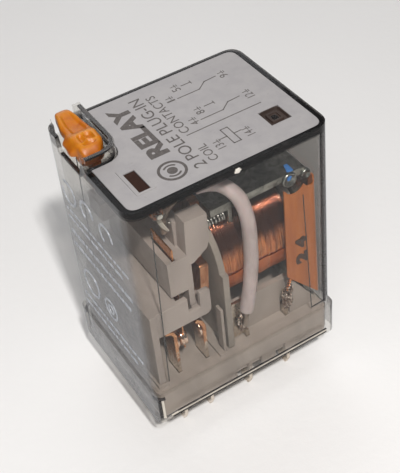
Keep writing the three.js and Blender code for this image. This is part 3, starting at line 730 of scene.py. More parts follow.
SLEEVE = sleeving()
ORANGE = orange_plastic()
SOLDER = solder_alloy()


# ---------- Camera ----------
# The view is given by its turn about Z, its height above the horizon and its roll, and by where the
# middle of the relay's height lies in front of it.
AIM_Z = 18.0
AZIMUTH, ELEVATION, ROLL = -27.62, 43.01, -6.54
AIM_OFFSET = (0.28, -0.29, 134.73)
SENSOR_WIDTH = 36
FOCAL_LENGTH = 79.611


def make_camera():
    azimuth, elevation, roll = (math.radians(angle) for angle in (AZIMUTH, ELEVATION, ROLL))
    flat = math.cos(elevation)
    back = Vector((math.sin(azimuth) * flat, -math.cos(azimuth) * flat, math.sin(elevation)))
    sideways = Vector((0, 0, 1)).cross(back).normalized()
    upright = back.cross(sideways)
    right = math.cos(roll) * sideways + math.sin(roll) * upright
    up = -math.sin(roll) * sideways + math.cos(roll) * upright
    turn = Matrix((right, up, back)).transposed()
    lens = bpy.data.cameras.new("camera")
    lens.sensor_width = SENSOR_WIDTH
    lens.lens = FOCAL_LENGTH
    lens.clip_start = 0.001
    made = show("camera", lens)
    place = turn.to_4x4()
    place.translation = (Vector((0, 0, AIM_Z)) + turn @ Vector(AIM_OFFSET)) * MM
    made.matrix_world = place
    bpy.context.scene.camera = made


# ---------- Cover and label ----------
def cover():
    dress("cover", CLEAR, 0.16, 40, EDGE)
    dress("label", LABEL, 0.05)


def cover_ribs():
    """Inside each side wall: a slender rib near the contacts, and an angled one by the coil end."""
    y = TOP_Y - 0.7
    lines = [
        [(-10.6, 31.5), (-11.4, 6.0)],
        [(9.95, 26.0), (10.95, 5.4)],
        [(10.95, 5.4), (13.2, 5.5)],
    ]
    for pole, side in SIDES.items():
        ribs = Build(*(tube([(x, side * y, z) for x, z in line], 0.07, 8) for line in lines))
        ribs.piece(f"cover_rib_{pole}", "root", EDGE, "clear_cover")


def strip(path, width, low, high):
    """A flat-sided band of even width along a level path, from one height to another."""
    across = cross_directions([Vector((*p, 0)) for p in path])
    rings = []
    for p, (a, b) in zip(path, across):
        side = a if abs(a.z) < abs(b.z) else b
        side = Vector((side.x, side.y, 0)).normalized() * width / 2
        middle = Vector((*p, 0))
        ring = [(-side, low), (side, low), (side, high), (-side, high)]
        rings.append([middle + offset + Vector((0, 0, z)) for offset, z in ring])
    return sections(rings)


def fence_path(front):
    """A level line inside the fence's near wall, round its corner and along its right wall."""
    right, corner = -8.88, 2.2
    return [(-13.2, front)] + arc(right - corner, front + corner, corner, -90, 0) + [(right, 9.7)]


def cover_rims():
    """Painted shade: dark bands inside the cover's solid rim round the label and inside the top of the
    fence.
    """
    x, y, radius = TOP_X - 0.36, TOP_Y - 0.3, 1.65
    path = [(-x, -0.5)]
    for x_side, y_side, start in ((-1, -1, 180), (1, -1, 270), (1, 1, 0)):
        path += arc(x_side * (x - radius), y_side * (y - radius), radius, start, start + 90)
    path += [(-8.2, y)]
    rim = Build(strip(path, 0.5, LABEL_LOW.z - 0.75, LABEL_LOW.z + 0.1))
    rim.piece("cover_rim_shade_band", "root", RIM, "clear_cover", sharp=40)
    wall = -TOP_X + 0.35
    fence = Build(
        strip(fence_path(-0.03), 0.44, FENCE_TOP - 0.3, FENCE_TOP - 0.03),
        strip(fence_path(-0.33), 0.3, LABEL_HIGH.z - 0.35, LABEL_HIGH.z - 0.05),
        strip([(wall, 1.5), (wall, 6.5)], 0.4, 33.6, 34.0),
        strip([(wall, 7.3), (wall, 8.6), (wall + 0.5, 9.7)], 0.4, 35.6, 35.93),
    )
    fence.piece("fence_rim_shade_band", "root", RIM, "clear_cover", sharp=40)


def skirt_lines():
    """Where the cover's corners and lower edge catch and lose the light, and the gate marks on its rim."""
    corner, wide, y = 1.4, 0.2, BODY_Y + 0.02
    top = SKIRT_TOP - 0.9
    for pole, side in SIDES.items():
        round_corner = (-BODY_X + corner - 0.02, side * (y - corner), corner)
        turn = 180 if side < 0 else 90
        upright = [
            Vector((leaning(BODY_X, TOP_X, z) - 0.54, side * (leaning(BODY_Y, TOP_Y, z) - 1.23), z))
            for z in (SKIRT_TOP, LABEL_LOW.z - 0.8)
        ]
        dark = Build(
            strip(arc(*round_corner, turn + 8, turn + 82), 0.26, SKIRT_TOP - 0.75, SKIRT_TOP - 0.45),
            strip(arc(*round_corner, turn + 40, turn + 56, 4), wide, 0.5, top),
            tube(upright, 0.22, 10),
        )
        bright = Build(strip(arc(*round_corner, turn + 60, turn + 72, 4), wide, 0.5, top))
        lines = ((dark, -12.0, 0.12, 0.09), (dark, -11.2, 0.72, 0.09), (bright, -12.2, 0.4, 0.1))
        for build, start, low, tall in lines:
            build.add(strip([(start, side * y), (BODY_X - 1.2, side * y)], wide, low, low + tall))
        gate_mark = (0.64, side * (TOP_Y - 0.05), LABEL_LOW.z - 0.45)
        bright.add(blob(gate_mark, (0.45, 0.14, 0.4), 2.0, 0.3))
        dark.piece(f"skirt_dark_lines_{pole}", "root", RIM, "clear_cover", sharp=40)
        bright.piece(f"skirt_light_lines_{pole}", "root", PALE, "clear_cover", sharp=40)


def end_face_marks():
    """Generic moulded marks on the cover's contact end: rings and rows of short bars."""
    face, proud = 0.02, -0.06

    def on_end(a, b, h):
        return (h - leaning(BODY_X, TOP_X, b), a, b)

    build = Build()
    for y, z, outer, inner, start, sweep in (
        (6.2, 28.0, 1.9, 1.5, 60, 300),
        (1.4, 28.2, 1.7, 1.3, 300, 240),
        (-3.4, 28.0, 1.7, 1.3, 300, 240),
        (4.6, 13.6, 2.2, 1.8, 0, 360),
        (-0.6, 13.2, 1.7, 1.35, 0, 360),
        (-0.6, 13.2, 0.8, 0.5, 0, 360),
    ):
        build.add(flat_ring(y, z, outer, inner, start, sweep, 40, face, proud, on_end))
    rows = [(24.6, 0.42), (23.2, 0.42), (20.6, 0.6), (18.4, 0.6), (9.4, 0.5), (7.8, 0.5)]
    for index, (z, tall) in enumerate(rows):
        right = 7.8
        count = 0
        while right > -6.6:
            left = right - 0.5 - 0.45 * ((index * 3 + count * 5) % 4)
            outline = rounded(rectangle(left, right, z, z + tall), 0.1, 2)
            build.add(slab(outline, face, proud, on_end))
            right = left - 0.35
            count += 1
    build.piece("end_face_marks", "root", FROSTED, "clear_cover", sharp=30)


def window_frames():
    """The sloped surround of the indicator window and its strip tinted with painted shade, and the stepped
    square window.
    """
    x0, x1, y0, y1 = -10.4, -8.95, -7.4, -3.5
    rings = []
    for out, up in ((0.75, 0.0), (0.7, 0.1), (0.0, 0.01), (-0.02, -0.2)):
        outline = rectangle(x0 - out * 0.7, x1 + out * 0.7, y0 - out * 0.5, y1 + out)
        rings.append([(x, y, LABEL_HIGH.z + up) for x, y in outline])
    rings.append(rings[0])
    bezel = Build(sections(rings, capped=False))
    bevel(bezel.piece("indicator_window_bezel", "root", LABEL, "label_film", sharp=60), 0.03)
    gap = 0.03
    plate = rectangle(x0 + gap, x1 - gap, y0 + gap, y1 - gap)
    lens = Build(slab(plate, LABEL_LOW.z + 0.02, LABEL_LOW.z + 0.08))
    lens.piece("indicator_window_lens", "root", LENS, "clear_cover")
    square_window()


def square_window():
    """A stepped well, dark with painted shade, with a small raised frame and a round pit in the middle."""
    x, y, half, stretch = 9.3, -5.0, 1.4, 1.07
    top = LABEL_HIGH.z
    steps = [(1.0, -0.06), (0.93, -0.1), (0.9, -0.42), (0.62, -0.45), (0.6, -0.16)]
    steps += [(0.42, -0.16), (0.4, -0.34), (0.2, -0.36), (0.16, -0.44)]
    rings = []
    for share, up in steps:
        size = half * share * 0.985
        power = 8 if share > 0.3 else 2
        ring = []
        for c, s in around(32):
            reach = (abs(c) ** power + abs(s) ** power) ** (-1 / power)
            ring.append((x + size * reach * c, y + size * stretch * reach * s, top + up))
        rings.append(ring)
    low = [(p[0], p[1], top - 0.48) for p in rings[0]]
    well = Build(sections([low, *rings]))
    bevel(well.piece("square_window_well", "root", SHADOW, "housing_plastic", sharp=40), 0.02)


def lettering(text, bold=0.0):
    """The outline of a text, as vertices and faces whose own box runs from 0 to 1 along and up."""
    curve = bpy.data.curves.new("lettering", "FONT")
    curve.body = text
    curve.offset = bold
    curve.resolution_u = 3
    curve.extrude = 0.5
    holder = show("lettering", curve)
    depsgraph = bpy.context.evaluated_depsgraph_get()
    mesh = bpy.data.meshes.new_from_object(holder.evaluated_get(depsgraph))
    points = [v.co.copy() for v in mesh.vertices]
    faces = [list(face.vertices) for face in mesh.polygons]
    bpy.data.objects.remove(holder)
    bpy.data.curves.remove(curve)
    bpy.data.meshes.remove(mesh)
    low = Vector([min(p[i] for p in points) for i in range(3)])
    high = Vector([max(p[i] for p in points) for i in range(3)])
    unit = [[(p[i] - low[i]) / (high[i] - low[i]) for i in range(3)] for p in points]
    return unit, faces


PRINT_THICK = 0.012
PRINT_LOW, PRINT_HIGH = LABEL_HIGH.z - 0.002, LABEL_HIGH.z + PRINT_THICK


def printed(build, text, top_x, foot_x, start_y, end_y, bold=0.0):
    """A text on the label that reads towards +Y, with its foot towards +X."""
    unit, faces = lettering(text, bold)
    vertices = []
    for along, up, proud in unit:
        x, y = foot_x + (top_x - foot_x) * up, start_y + (end_y - start_y) * along
        vertices.append((x, y, PRINT_LOW + PRINT_THICK * proud))
    build.add((vertices, faces))


def printed_line(build, points, width=0.13):
    """A printed stroke through points on the label."""
    for a, b in zip(points, points[1:]):
        a, b = Vector(a), Vector(b)
        along = (b - a).normalized() * (width / 2)
        across = Vector((-along.y, along.x))
        corners = [a - along - across, b + along - across, b + along + across, a - along + across]
        build.add(slab([tuple(c) for c in corners], PRINT_LOW, PRINT_HIGH))


def printed_ring(build, outer, inner, turn=0, sweep=360):
    """A ring, or a part of one, of the round mark on the label."""
    build.add(flat_ring(-5.55, -6.35, outer, inner, turn, sweep, 48, PRINT_LOW, PRINT_HIGH))


def contact_symbol(build, y):
    """A changeover contact: the common lead with its blade, and the resting contact's lead."""
    printed_line(build, [(2.0, y), (5.1, y), (6.4, y + 1.0), (8.1, y + 1.1)])
    printed_line(build, [(3.7, y + 2.0), (5.0, y + 2.0)])
    printed_line(build, [(5.0, y + 1.7), (5.0, y + 2.3)], 0.1)


def terminal_number(build, text, x, y):
    """A terminal number with the small pin sign beside it."""
    wide = sum(0.26 if digit == "1" else 0.62 for digit in text)
    printed(build, text, x - 0.55, x + 0.55, y - wide / 2, y + wide / 2)
    hook = y + wide / 2 + 0.5
    printed_line(build, [(x - 0.4, hook), (x + 0.2, hook)], 0.1)
    printed_line(build, [(x + 0.2, hook - 0.3), (x + 0.2, hook + 0.3)], 0.1)
    printed_line(build, [(x + 0.45, hook - 0.15), (x + 0.45, hook + 0.15)], 0.1)


def label_print():
    """Generic wording, terminal numbers and the wiring sketch on the label."""
    build = Build()
    printed_ring(build, 1.75, 1.4)
    printed_ring(build, 0.62, 0.0)
    for turn in (40, 220):
        printed_ring(build, 1.1, 0.86, turn, 100)
    printed(build, "RELAY", -6.5, -3.95, -3.3, 7.9, bold=0.05)
    printed(build, "2 POLE PLUG-IN", -3.3, -1.75, -7.8, 8.0)
    printed(build, "COIL", -1.25, -0.1, -7.7, -4.4)
    printed(build, "CONTACTS", -1.25, -0.05, -1.4, 7.4)
    printed_line(build, [(-0.9, -1.95), (9.4, -1.95)])
    contact_symbol(build, 4.95)
    contact_symbol(build, -0.38)
    numbers = {"9": (9.0, 5.5), "5": (2.8, 6.6), "1": (1.1, 5.0), "12": (9.2, 0.1)}
    numbers |= {"8": (2.7, 0.9), "4": (1.1, -0.5), "13": (1.1, -6.0), "14": (5.1, -6.0)}
    for text, place in numbers.items():
        terminal_number(build, text, *place)
    coil = rectangle(2.65, 3.6, -6.5, -3.5)
    printed_line(build, coil + coil[:1])
    printed_line(build, [(1.7, -4.95), (2.65, -4.95)])
    printed_line(build, [(3.6, -4.95), (4.6, -4.95)])
    build.piece("label_print", "root", DARK_INK, "label_film", sharp=30)


# ---------- Base, guide and magnet ----------
def fixed_parts():
    for node, material, width in (
        ("base", HOUSING, 0.12),
        ("contact_guide", CARRIER, 0.16),
        ("bobbin", BOBBIN, 0.1),
        ("yoke", STEEL, 0.1),
        ("core", STEEL, 0.12),
        ("shading_ring", COPPER, 0.08),
        ("armature", CHROMATED, 0.1),
    ):
        dress(node, material, width)
    for row, material in (("nc", TERMINAL), ("no", TERMINAL), ("com", TINNED), ("coil", TINNED)):
        for pole in SIDES:
            dress(f"{row}_terminal_{pole}", material, 0.06)


def wound(first_x, last_x, count, radius, wander, seed):
    """The path of a wire wound round the coil, which wanders a little from turn to turn."""
    per_turn = 40
    path = []
    for k in range(count * per_turn + 1):
        t = 2 * math.pi * k / per_turn
        share = k / (count * per_turn)
        drift = noise.noise(Vector((share * count * 0.7, math.cos(t), seed))) * wander
        lift = noise.noise(Vector((share * count * 1.9, math.sin(t) + seed, 3.1))) * wander * 0.8
        r = radius + lift
        x = first_x + (last_x - first_x) * share + drift
        path.append(Vector((x, -r * math.sin(t), COIL_Z + r * math.cos(t))))
    return path


def coil_winding():
    """Fine wire wound side by side and a few crossing turns, over the solid of the layers below."""
    wire = 0.088
    outer = COIL_RADIUS - wire
    low, high = COIL_LOW.x + 0.02, COIL_HIGH.x - 0.02
    below = [(r, x) for x, r in rectangle(low, high, COIL_RADIUS - 2.8, COIL_RADIUS - 1.6 * wire)]
    build = Build(
        turned_x(below, 0, COIL_Z, 64),
        tube(wound(COIL_LOW.x + 0.12, COIL_HIGH.x - 0.12, 60, outer - 0.04, 0.08, 0.0), wire, 8),
        tube(wound(COIL_LOW.x + 0.6, COIL_HIGH.x - 0.5, 5, outer + 0.02, 0.5, 5.0), wire * 0.9, 8),
    )
    build.piece("coil_winding_turns", "root", COPPER, "winding_copper", ["coil_winding"], sharp=60)


def coil_wrap():
    """A jacket of orange film round the lower half of the winding, its free edges a little wavy."""
    across, round_coil, clearance = 34, 24, 0.09
    first, wide = COIL_LOW.x + 0.1, COIL_HIGH.x - COIL_LOW.x - 0.2
    rows = []
    for i in range(round_coil + 1):
        row = []
        for j in range(across + 1):
            x = first + wide * j / across
            edge = 95 + 2.5 * noise.noise(Vector((x * 0.5, 0, 0))) + 1.2 * max(0.0, x - 7.5)
            angle = math.radians(edge + (360 - 2 * edge) * i / round_coil)
            ripple = 0.05 * noise.noise(Vector((x * 0.6, angle * 2.2, 7.0)))
            r = COIL_RADIUS + clearance + ripple
            row.append(Vector((x, -r * math.sin(angle), COIL_Z + r * math.cos(angle))))
        rows.append(row)
    Build(patch(rows, 0.05)).piece("coil_wrap_film", "root", WRAP, "film_tape", sharp=50)


FILM = {"x": 7.9, "back": 12.6, "y": 8.3, "top": 26.8, "low": 6.4, "high": 12.2, "thick": 0.17}
CREASE = {"x": 11.3, "wide": 0.09, "deep": 0.04}  # an upright crease in each of the film's flaps
BOSSES = [(9.5, 27.1, 1.1), (11.95, 26.9, 0.75)]  # x, z and radius of the bosses beside the yoke


def film_flare(z):
    """How far the film springs out at a height."""
    return 0.4 * (FILM["top"] - z) / (FILM["top"] - FILM["low"])


def film_points(samples):
    """Points in plan along the film from one front edge round the back to the other."""
    corner = 0.5
    plan = [(FILM["x"], -FILM["y"], 0)]
    plan += [(x, y, 0) for x, y in arc(FILM["back"] - corner, -FILM["y"] + corner, corner, -90, 0, 6)]
    plan += [(x, -y, 0) for x, y, z in reversed(plan)]
    return evenly([Vector(p) for p in plan], samples)


def film_top(p):
    """The film's upper edge, notched round the bosses."""
    top = FILM["top"]
    if abs(p.y) > FILM["y"] - 0.2:
        for x, z, radius in BOSSES:
            reach = radius + 0.35
            inside = reach**2 - (p.x - x) ** 2
            if inside > 0:
                top = min(top, z - math.sqrt(inside))
    return top


def insulating_film():
    """The orange film folded round the yoke's upright leg, sprung out a little at its foot."""
    steps = 26
    rows = []
    for p in film_points(110):
        slope = min(max((p.x - FILM["x"]) / (FILM["back"] - FILM["x"]), 0), 1)
        low = FILM["high"] + (FILM["low"] - FILM["high"]) * slope
        top = film_top(p)
        flap = abs(p.y) > FILM["y"] - 0.3
        side = math.copysign(1, p.y)
        outward = Vector((0, side, 0)) if flap else Vector((1, 0, 0))
        crease = math.exp(-(((p.x - CREASE["x"]) / CREASE["wide"]) ** 2)) * CREASE["deep"]
        row = []
        for k in range(steps + 1):
            z = low + (top - low) * k / steps
            flare = film_flare(z)
            wave = 0.035 * noise.noise(Vector((p.x * 0.7, p.y * 0.2, z * 0.12)))
            spread = Vector((slope * flare, 0.5 * flare * side if flap else 0, z))
            row.append(p + spread + outward * (wave - crease - 0.02))
        rows.append(row)
    film = Build(patch(rows, FILM["thick"]))
    film.piece("insulating_film_folded", "root", TAPE, "film_tape", ["insulating_film"], sharp=50)


def film_number():
    """A printed number that reads up the film's near flap."""
    foot_x, tall, wide, proud_by = 11.1, 1.8, 1.9, 0.06
    build = Build()
    for text, z in (("2", 13.5), ("4", 16.2)):
        unit, faces = lettering(text, 0.075)
        vertices = []
        for along, up, proud in unit:
            height = z + wide * along
            y = -FILM["y"] - 0.5 * film_flare(height) - proud_by - proud_by * proud
            vertices.append((foot_x - tall * up, y, height))
        build.add((vertices, faces))
    build.piece("film_number", "root", BROWN_INK, "film_tape", sharp=30)


def yoke_bosses():
    """Dished bosses that hold the film beside the yoke."""
    near, far = YOKE_HIGH.y - 0.1, YOKE_HIGH.y + 0.3
    profile = [(1, near), (1, far - 0.18), (0.94, far - 0.05), (0.84, far)]
    profile += [(0.7, far - 0.06), (0.52, far - 0.26), (0.2, far - 0.34)]
    for pole, side in SIDES.items():
        build = Build()
        for x, z, radius in BOSSES:
            rings = [
                [(x + radius * share * c, side * y, z + radius * share * s) for c, s in around(32)]
                for share, y in profile
            ]
            build.add(sections(rings))
        build.piece(f"yoke_boss_{pole}", "root", PEWTER, "bright_steel", sharp=50)


def paint_dab():
    """A dab of blue paint across the yoke's near edge."""
    top, edge = YOKE_HIGH.z + 0.02, YOKE_LOW.y - 0.02
    path = [(-5.6, top), (-6.4, top), (-7.0, top), (edge, top - 0.15), (edge, top - 0.6), (edge, top - 1.15)]
    rows = []
    for i, (y, z) in enumerate(path):
        half = 0.16 + 0.3 * math.sin(math.pi * (i + 0.6) / 6)
        middle = 10.1 - 0.12 * i
        rows.append([(middle + half * s, y, z) for s in (-1, -0.4, 0.2, 1)])
    Build(patch(rows, 0.05)).piece("paint_dab", "root", BLUE_PAINT, "zinc_steel", sharp=80)


def return_springs():
    """Compression springs of bright wire, wound closer at their ends."""
    wire, turns, per_turn = 0.13, 7, 22
    for pole in SIDES:
        node = f"return_spring_{pole}"
        low, high = box_mm(node)
        middle = (low + high) / 2
        radius = (high.z - low.z) / 2 - wire
        path = []
        for k in range(turns * per_turn + 1):
            share = k / (turns * per_turn)
            eased = share - 0.06 * math.sin(2 * math.pi * share)
            angle = 2 * math.pi * turns * share
            x = low.x + wire + (high.x - low.x - 2 * wire) * eased
            path.append((x, middle.y + radius * math.cos(angle), middle.z + radius * math.sin(angle)))
        coil = Build(tube(path, wire, 8))
        coil.piece(f"return_spring_coil_{pole}", "root", BRIGHT, "bright_steel", [node], sharp=60)


# ---------- Moving contact set ----------
def moving_set():
    dress("contact_carrier", CARRIER, 0.16)
    for pole in SIDES:
        dress(f"moving_spring_{pole}", BRONZE, 0.05)


def carrier_details():
    """A pale latch beside each upper block of the carrier and the head of the pin that holds its spring."""
    for pole, side in SIDES.items():
        rows = []
        for k in range(13):
            t = k / 12
            centre = Vector((-8.1 + 1.1 * t, side * (5.9 + 0.2 * t), 30.3 - 3.2 * t))
            half = 0.28 * math.sin(math.pi * (0.08 + 0.84 * t)) ** 0.6
            bow = Vector((-0.25 * math.sin(math.pi * t), 0, 0))
            across = Vector((half * 0.6, half * side, half * 0.5))
            rows.append([centre + bow + across * s for s in (-1, 0, 1)])
        latch = Build(patch(rows, 0.12))
        latch.piece(f"carrier_latch_{pole}", "armature", PALE, "carrier_plastic", sharp=60)
        head = Build(blob((-6.45, side * 5.6, 27.8), (0.22, 0.2, 0.22), 1.0, 0.05))
        head.piece(f"spring_pin_{pole}", "armature", BRIGHT, "bright_steel", sharp=80)


def dome(flat_x, peak_x, radius):
    """The (radius, x) outline of a contact head, flat where it is riveted and domed towards its mate."""
    deep = peak_x - flat_x
    profile = [(0.0, flat_x), (radius * 0.96, flat_x)]
    profile += [(radius, flat_x + 0.12 * deep), (radius, flat_x + 0.45 * deep)]
    for k in range(1, 8):
        t = math.radians(90 * k / 7)
        profile.append((radius * math.cos(t) ** 0.7, flat_x + deep * (0.45 + 0.55 * math.sin(t))))
    return profile


def contacts():
    """Silver contact heads on the fixed terminals and on both faces of the moving springs."""
    for pole in SIDES:
        for row, body in (("nc", "root"), ("no", "root"), ("moving", "armature")):
            node = f"{row}_contact_{pole}"
            low, high = box_mm(node)
            middle = (low + high) / 2
            spans = {
                "nc": [(low.x, high.x)],
                "no": [(high.x, low.x)],
                "moving": [(middle.x, high.x), (middle.x, low.x)],
            }
            radius = (high.z - low.z) / 2
            heads = [turned_x(dome(*span, radius), middle.y, middle.z) for span in spans[row]]
            made = Build(*heads)
            made.piece(f"{row}_contact_head_{pole}", body, SILVER, "silver_contact", [node], sharp=50)


# ---------- Wires ----------
BRAID_ROUTE = [
    (-6.9, 4.7, 25.7),
    (-6.8, 4.75, 27.8),
    (-5.4, 5.1, 30.1),
    (-2.6, 5.8, 31.4),
    (0, 6.5, 30.9),
    (1.5, 7.8, 29.4),
    (2.3, 8.42, 26.6),
    (2.7, 8.4, 20),
    (2.2, 8.35, 14),
    (1.3, 8.4, 9.6),
    (1, 8.4, 7.6),
]
LEAD_ROUTE = [(9.7, 7.5, 13.4), (9.5, 7.85, 12.5), (9, 8, 11.6), (8.5, 8.05, 10.7), (8, 8.2, 9.5)]
SLEEVE_SHARE = (0.22, 0.93)  # the stretch of a braid's route that its sleeve covers


def mirrored(points, side):
    return [(x, side * y, z) for x, y, z in points]


def twisted(route, count, turns, reach, wire, sides):
    """A number of wires twisted round a route, each at a reach from it."""
    crossing = cross_directions(route)
    build = Build()
    for strand in range(count):
        path = []
        for i, (p, (a, b)) in enumerate(zip(route, crossing)):
            turn = 2 * math.pi * (strand / count + turns * i / (len(route) - 1))
            path.append(p + (a * math.cos(turn) + b * math.sin(turn)) * reach)
        build.add(tube(path, wire, sides))
    return build


def bend(made):
    """Takes a piece off its body and leaves it at the scene's origin with no transform of its own."""
    made.parent = None
    made.matrix_world = Matrix.Identity(4)
    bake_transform(made)


def braids():
    """Twisted copper strands from each moving spring's head to its common terminal."""
    lay = 2.6
    for pole, side in SIDES.items():
        route = smooth_path(mirrored(BRAID_ROUTE, side), 150)
        length = sum((b - a).length for a, b in zip(route, route[1:]))
        strands = twisted(route, 7, length / lay, 0.27, 0.15, 6)
        name = f"braid_strands_{pole}"
        bend(strands.piece(name, "root", BRAID, "winding_copper", [f"braid_{pole}"], sharp=60))


def sleeves():
    """Soft insulating sleeves, with an open bore and a slightly uneven wall."""
    outer, inner, steps = 0.93, 0.62, 300
    first, last = (round(steps * share) for share in SLEEVE_SHARE)
    for pole, side in SIDES.items():
        whole = smooth_path(mirrored(BRAID_ROUTE, side), steps)
        route = evenly(whole[first : last + 1], 90)
        crossing = cross_directions(route)
        end = len(route) - 1
        along = [(0, outer - 0.08), *((i, outer) for i in range(1, end)), (end, outer - 0.08)]
        along += [(i, inner) for i in range(end, -1, -1)]
        rings = []
        for i, radius in along:
            a, b = crossing[i]
            ring = []
            for c, s in around(28):
                uneven = 1 + 0.03 * noise.noise(Vector((i * 0.09, c, s)))
                ring.append(route[i] + (a * c + b * s) * radius * uneven)
            rings.append(ring)
        rings.append(rings[0])
        sleeve = Build(sections(rings, capped=False))
        name = f"sleeve_soft_{pole}"
        bend(sleeve.piece(name, "root", SLEEVE, "sleeving", [f"sleeve_{pole}"], sharp=60))


def solder_joints():
    """Solder on the coil posts with twisted leads run into it, and on the common tabs below the sleeves."""
    for pole, side in SIDES.items():
        spikes = [((0.5, side * 0.8, 0.5), 0.9), ((-0.9, side * 0.7, -0.2), 0.9), ((0.6, side, -0.5), 0.7)]
        spikes += [((-0.7, side * 0.6, 0.7), 0.6), ((0.9, side * 0.3, 0.0), 0.8)]
        post = Build(
            blob((7.95, side * 8.0, 7.6), (0.5, 0.5, 1.45), 1.3 * side, 0.8, spikes),
            blob((8.3, side * 8.15, 9.4), (0.5, 0.42, 0.7), 4.1 * side, 0.5, spikes[:1]),
        )
        post.piece(f"coil_solder_bead_{pole}", "root", SOLDER, "tinned", [f"coil_solder_{pole}"], sharp=70)
        tab = Build(blob((0.95, side * 7.75, 7.3), (0.75, 0.5, 1.5), 2.2 * side, 0.4))
        tab.piece(f"com_solder_bead_{pole}", "root", SOLDER, "tinned", [f"com_solder_{pole}"], sharp=70)
        route = smooth_path(mirrored(LEAD_ROUTE, side), 60)
        name, node = f"coil_lead_twist_{pole}", f"coil_lead_{pole}"
        twisted(route, 3, 3.4, 0.13, 0.11, 8).piece(name, "root", COPPER, "winding_copper", [node], sharp=60)


# ---------- Test button and indicator ----------
def smooth_step(low, high, value):
    t = min(max((value - low) / (high - low), 0.0), 1.0)
    return t * t * (3 - 2 * t)


LEVER_UNDER = 35.35  # the underside of the lever's finger tip
LEVER_LEFT = LEVER_LOW.x + 0.75  # the lever's own side, inside its shoulder


def lever_section(y):
    """The lever's sides, underside, top and shoulder reach at y."""
    pivot_y, pivot_z = (PIN_LOW.y + PIN_HIGH.y) / 2, (PIN_LOW.z + PIN_HIGH.z) / 2
    hub = pivot_z - LEVER_LOW.z
    left = LEVER_LEFT + 0.15 * smooth_step(4.5, 6.5, y) + 0.4 * smooth_step(7.0, 9.5, y)
    right = LEVER_HIGH.x - 0.1 * smooth_step(3.5, 5.5, y) - 0.5 * smooth_step(5.5, 9.5, y)
    right -= 0.65 * smooth_step(3.0, 1.4, y)
    shoulder = 0.72 * smooth_step(2.6, 3.4, y) * (1 - smooth_step(5.2, 6.2, y))
    under, top = LEVER_UNDER, LEVER_HIGH.z
    away = y - pivot_y
    if abs(away) < hub:
        rise = math.sqrt(hub**2 - away**2)
        under = min(under, pivot_z - rise)
        top = pivot_z + rise if away < 0 else top
    top -= 0.34 * smooth_step(4.4, 5.8, y) * (1 - smooth_step(6.8, 8.8, y))
    return left, right, under, min(top, LEVER_HIGH.z), shoulder


def top_relief(across, y):
    """How far the lever's top is sunk at a share across it and a y: a ribbed well and a finger channel."""
    x, along = across * 1.7, y - 3.35
    edge = ((across / 0.6) ** 4 + (along / 1.15) ** 4) ** 0.25
    well = smooth_step(1.0, 0.7, edge)
    ribs = 0.0
    for turn in (100, 215, 330):
        way = (math.cos(math.radians(turn)), math.sin(math.radians(turn)))
        forward = max(x * way[0] + along * way[1], 0.0)
        away = math.hypot(x - forward * way[0], along - forward * way[1])
        ribs = max(ribs, math.exp(-((away / 0.2) ** 2)))
    inside = smooth_step(0.72, 0.4, abs(across - 0.1))
    channel = inside * 0.3 * smooth_step(4.8, 5.8, y) * smooth_step(9.6, 8.4, y)
    return 0.42 * well * (1 - 0.8 * ribs) + channel


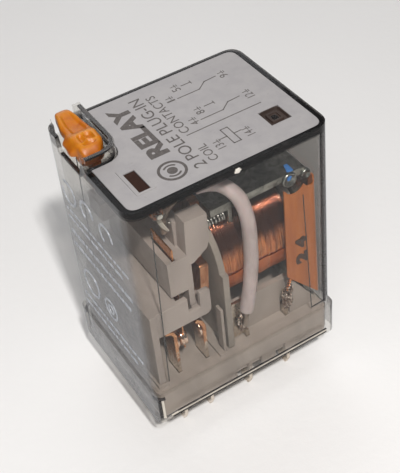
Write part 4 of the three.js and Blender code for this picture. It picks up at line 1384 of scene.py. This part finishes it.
def test_lever():
    """The orange lever: a round hub with a ribbed well on top, a dip behind it and a raised finger tip."""
    near, far = LEVER_LOW.y, LEVER_HIGH.y
    rows = 110
    rings = []
    for i in range(rows + 1):
        along = -math.cos(math.pi * i / rows)
        y = (near + far) / 2 + along * (far - near) / 2
        end = max(1 - abs(along) ** 8, 0.0) ** 0.5
        left, right, low, high, shoulder = lever_section(y)
        middle_x, half_x = (left + right) / 2, (right - left) / 2 * (0.35 + 0.65 * end)
        middle_z, half_z = (low + high) / 2, (high - low) / 2 * (0.45 + 0.55 * end)
        ring = []
        for c, s in around(96):
            reach = (abs(c) ** 5 + abs(s) ** 5) ** (-1 / 5)
            x, z = middle_x + half_x * reach * c, middle_z + half_z * reach * s
            depth = min(max((LEVER_HIGH.z - z) / (LEVER_HIGH.z - LEVER_UNDER), 0), 1)
            ledge = smooth_step(LEVER_UNDER - 0.05, LEVER_UNDER + 0.15, z)
            x += min(c, 0.0) * shoulder * smooth_step(0.0, 0.7, depth) * ledge
            if s > 0:
                z -= top_relief(reach * c, y) * max(0.0, reach * s) ** 4
            z += 0.03 * noise.noise(Vector((x, y, z)) * 1.3) * end
            ring.append((x, y, min(z, LEVER_HIGH.z)))
        rings.append(ring)
    build = Build(sections(rings))
    build.piece("test_lever_sculpted", "test_lever", ORANGE, "orange_plastic", ["test_lever"], sharp=50)


def button_parts():
    test_lever()
    dress("test_lever_pin", BRIGHT, 0.06)
    dress("test_plunger", ORANGE, 0.1)
    dress("flag", ORANGE, 0.06)
    dress("flag_pin", BRIGHT, 0.06)


# ---------- Surroundings ----------
def floor():
    half = 450
    mesh = Build(slab(rectangle(-half, half, -half, half), FLOOR_Z - 2, FLOOR_Z)).mesh("floor")
    mesh.materials.append(pale_floor())
    show("floor", mesh)


def area_light(name, direction, distance, size, power, colour):
    """A soft square light that shines at the middle of the relay from a direction."""
    light = bpy.data.lights.new(name, "AREA")
    light.size = size * MM
    light.energy = power
    light.color = colour
    made = show(name, light)
    way = Vector(direction).normalized()
    made.location = (Vector((0, 0, AIM_Z)) + way * distance) * MM
    made.rotation_mode = "QUATERNION"
    made.rotation_quaternion = way.to_track_quat("Z", "Y")


def lights():
    """A small key light for the highlights, three large soft lights and a grey room."""
    white = (1.0, 1.0, 1.0)
    area_light("key_light", (-0.16, -0.58, 0.8), 300, 14, 0.86, (1.0, 0.98, 0.96))
    area_light("front_light", (-0.4, -0.62, 0.9), 420, 170, 0.44, (1.0, 0.99, 0.98))
    area_light("top_light", (0.3, 0.5, 1.0), 420, 300, 0.28, white)
    area_light("back_light", (0.25, 0.9, 0.4), 420, 260, 0.32, white)
    world = bpy.data.worlds.new("room")
    world.use_nodes = True
    sky = world.node_tree.nodes["Background"]
    sky.inputs["Color"].default_value = (0.6, 0.6, 0.62, 1)
    sky.inputs["Strength"].default_value = 0.2
    bpy.context.scene.world = world
    bpy.context.scene.view_settings.view_transform = "Standard"
    bpy.context.scene.cycles.transparent_max_bounces = 24


make_camera()
cover()
cover_ribs()
cover_rims()
skirt_lines()
carrier_details()
end_face_marks()
window_frames()
label_print()
fixed_parts()
coil_winding()
coil_wrap()
insulating_film()
film_number()
yoke_bosses()
paint_dab()
return_springs()
moving_set()
contacts()
braids()
sleeves()
solder_joints()
button_parts()
floor()
lights()
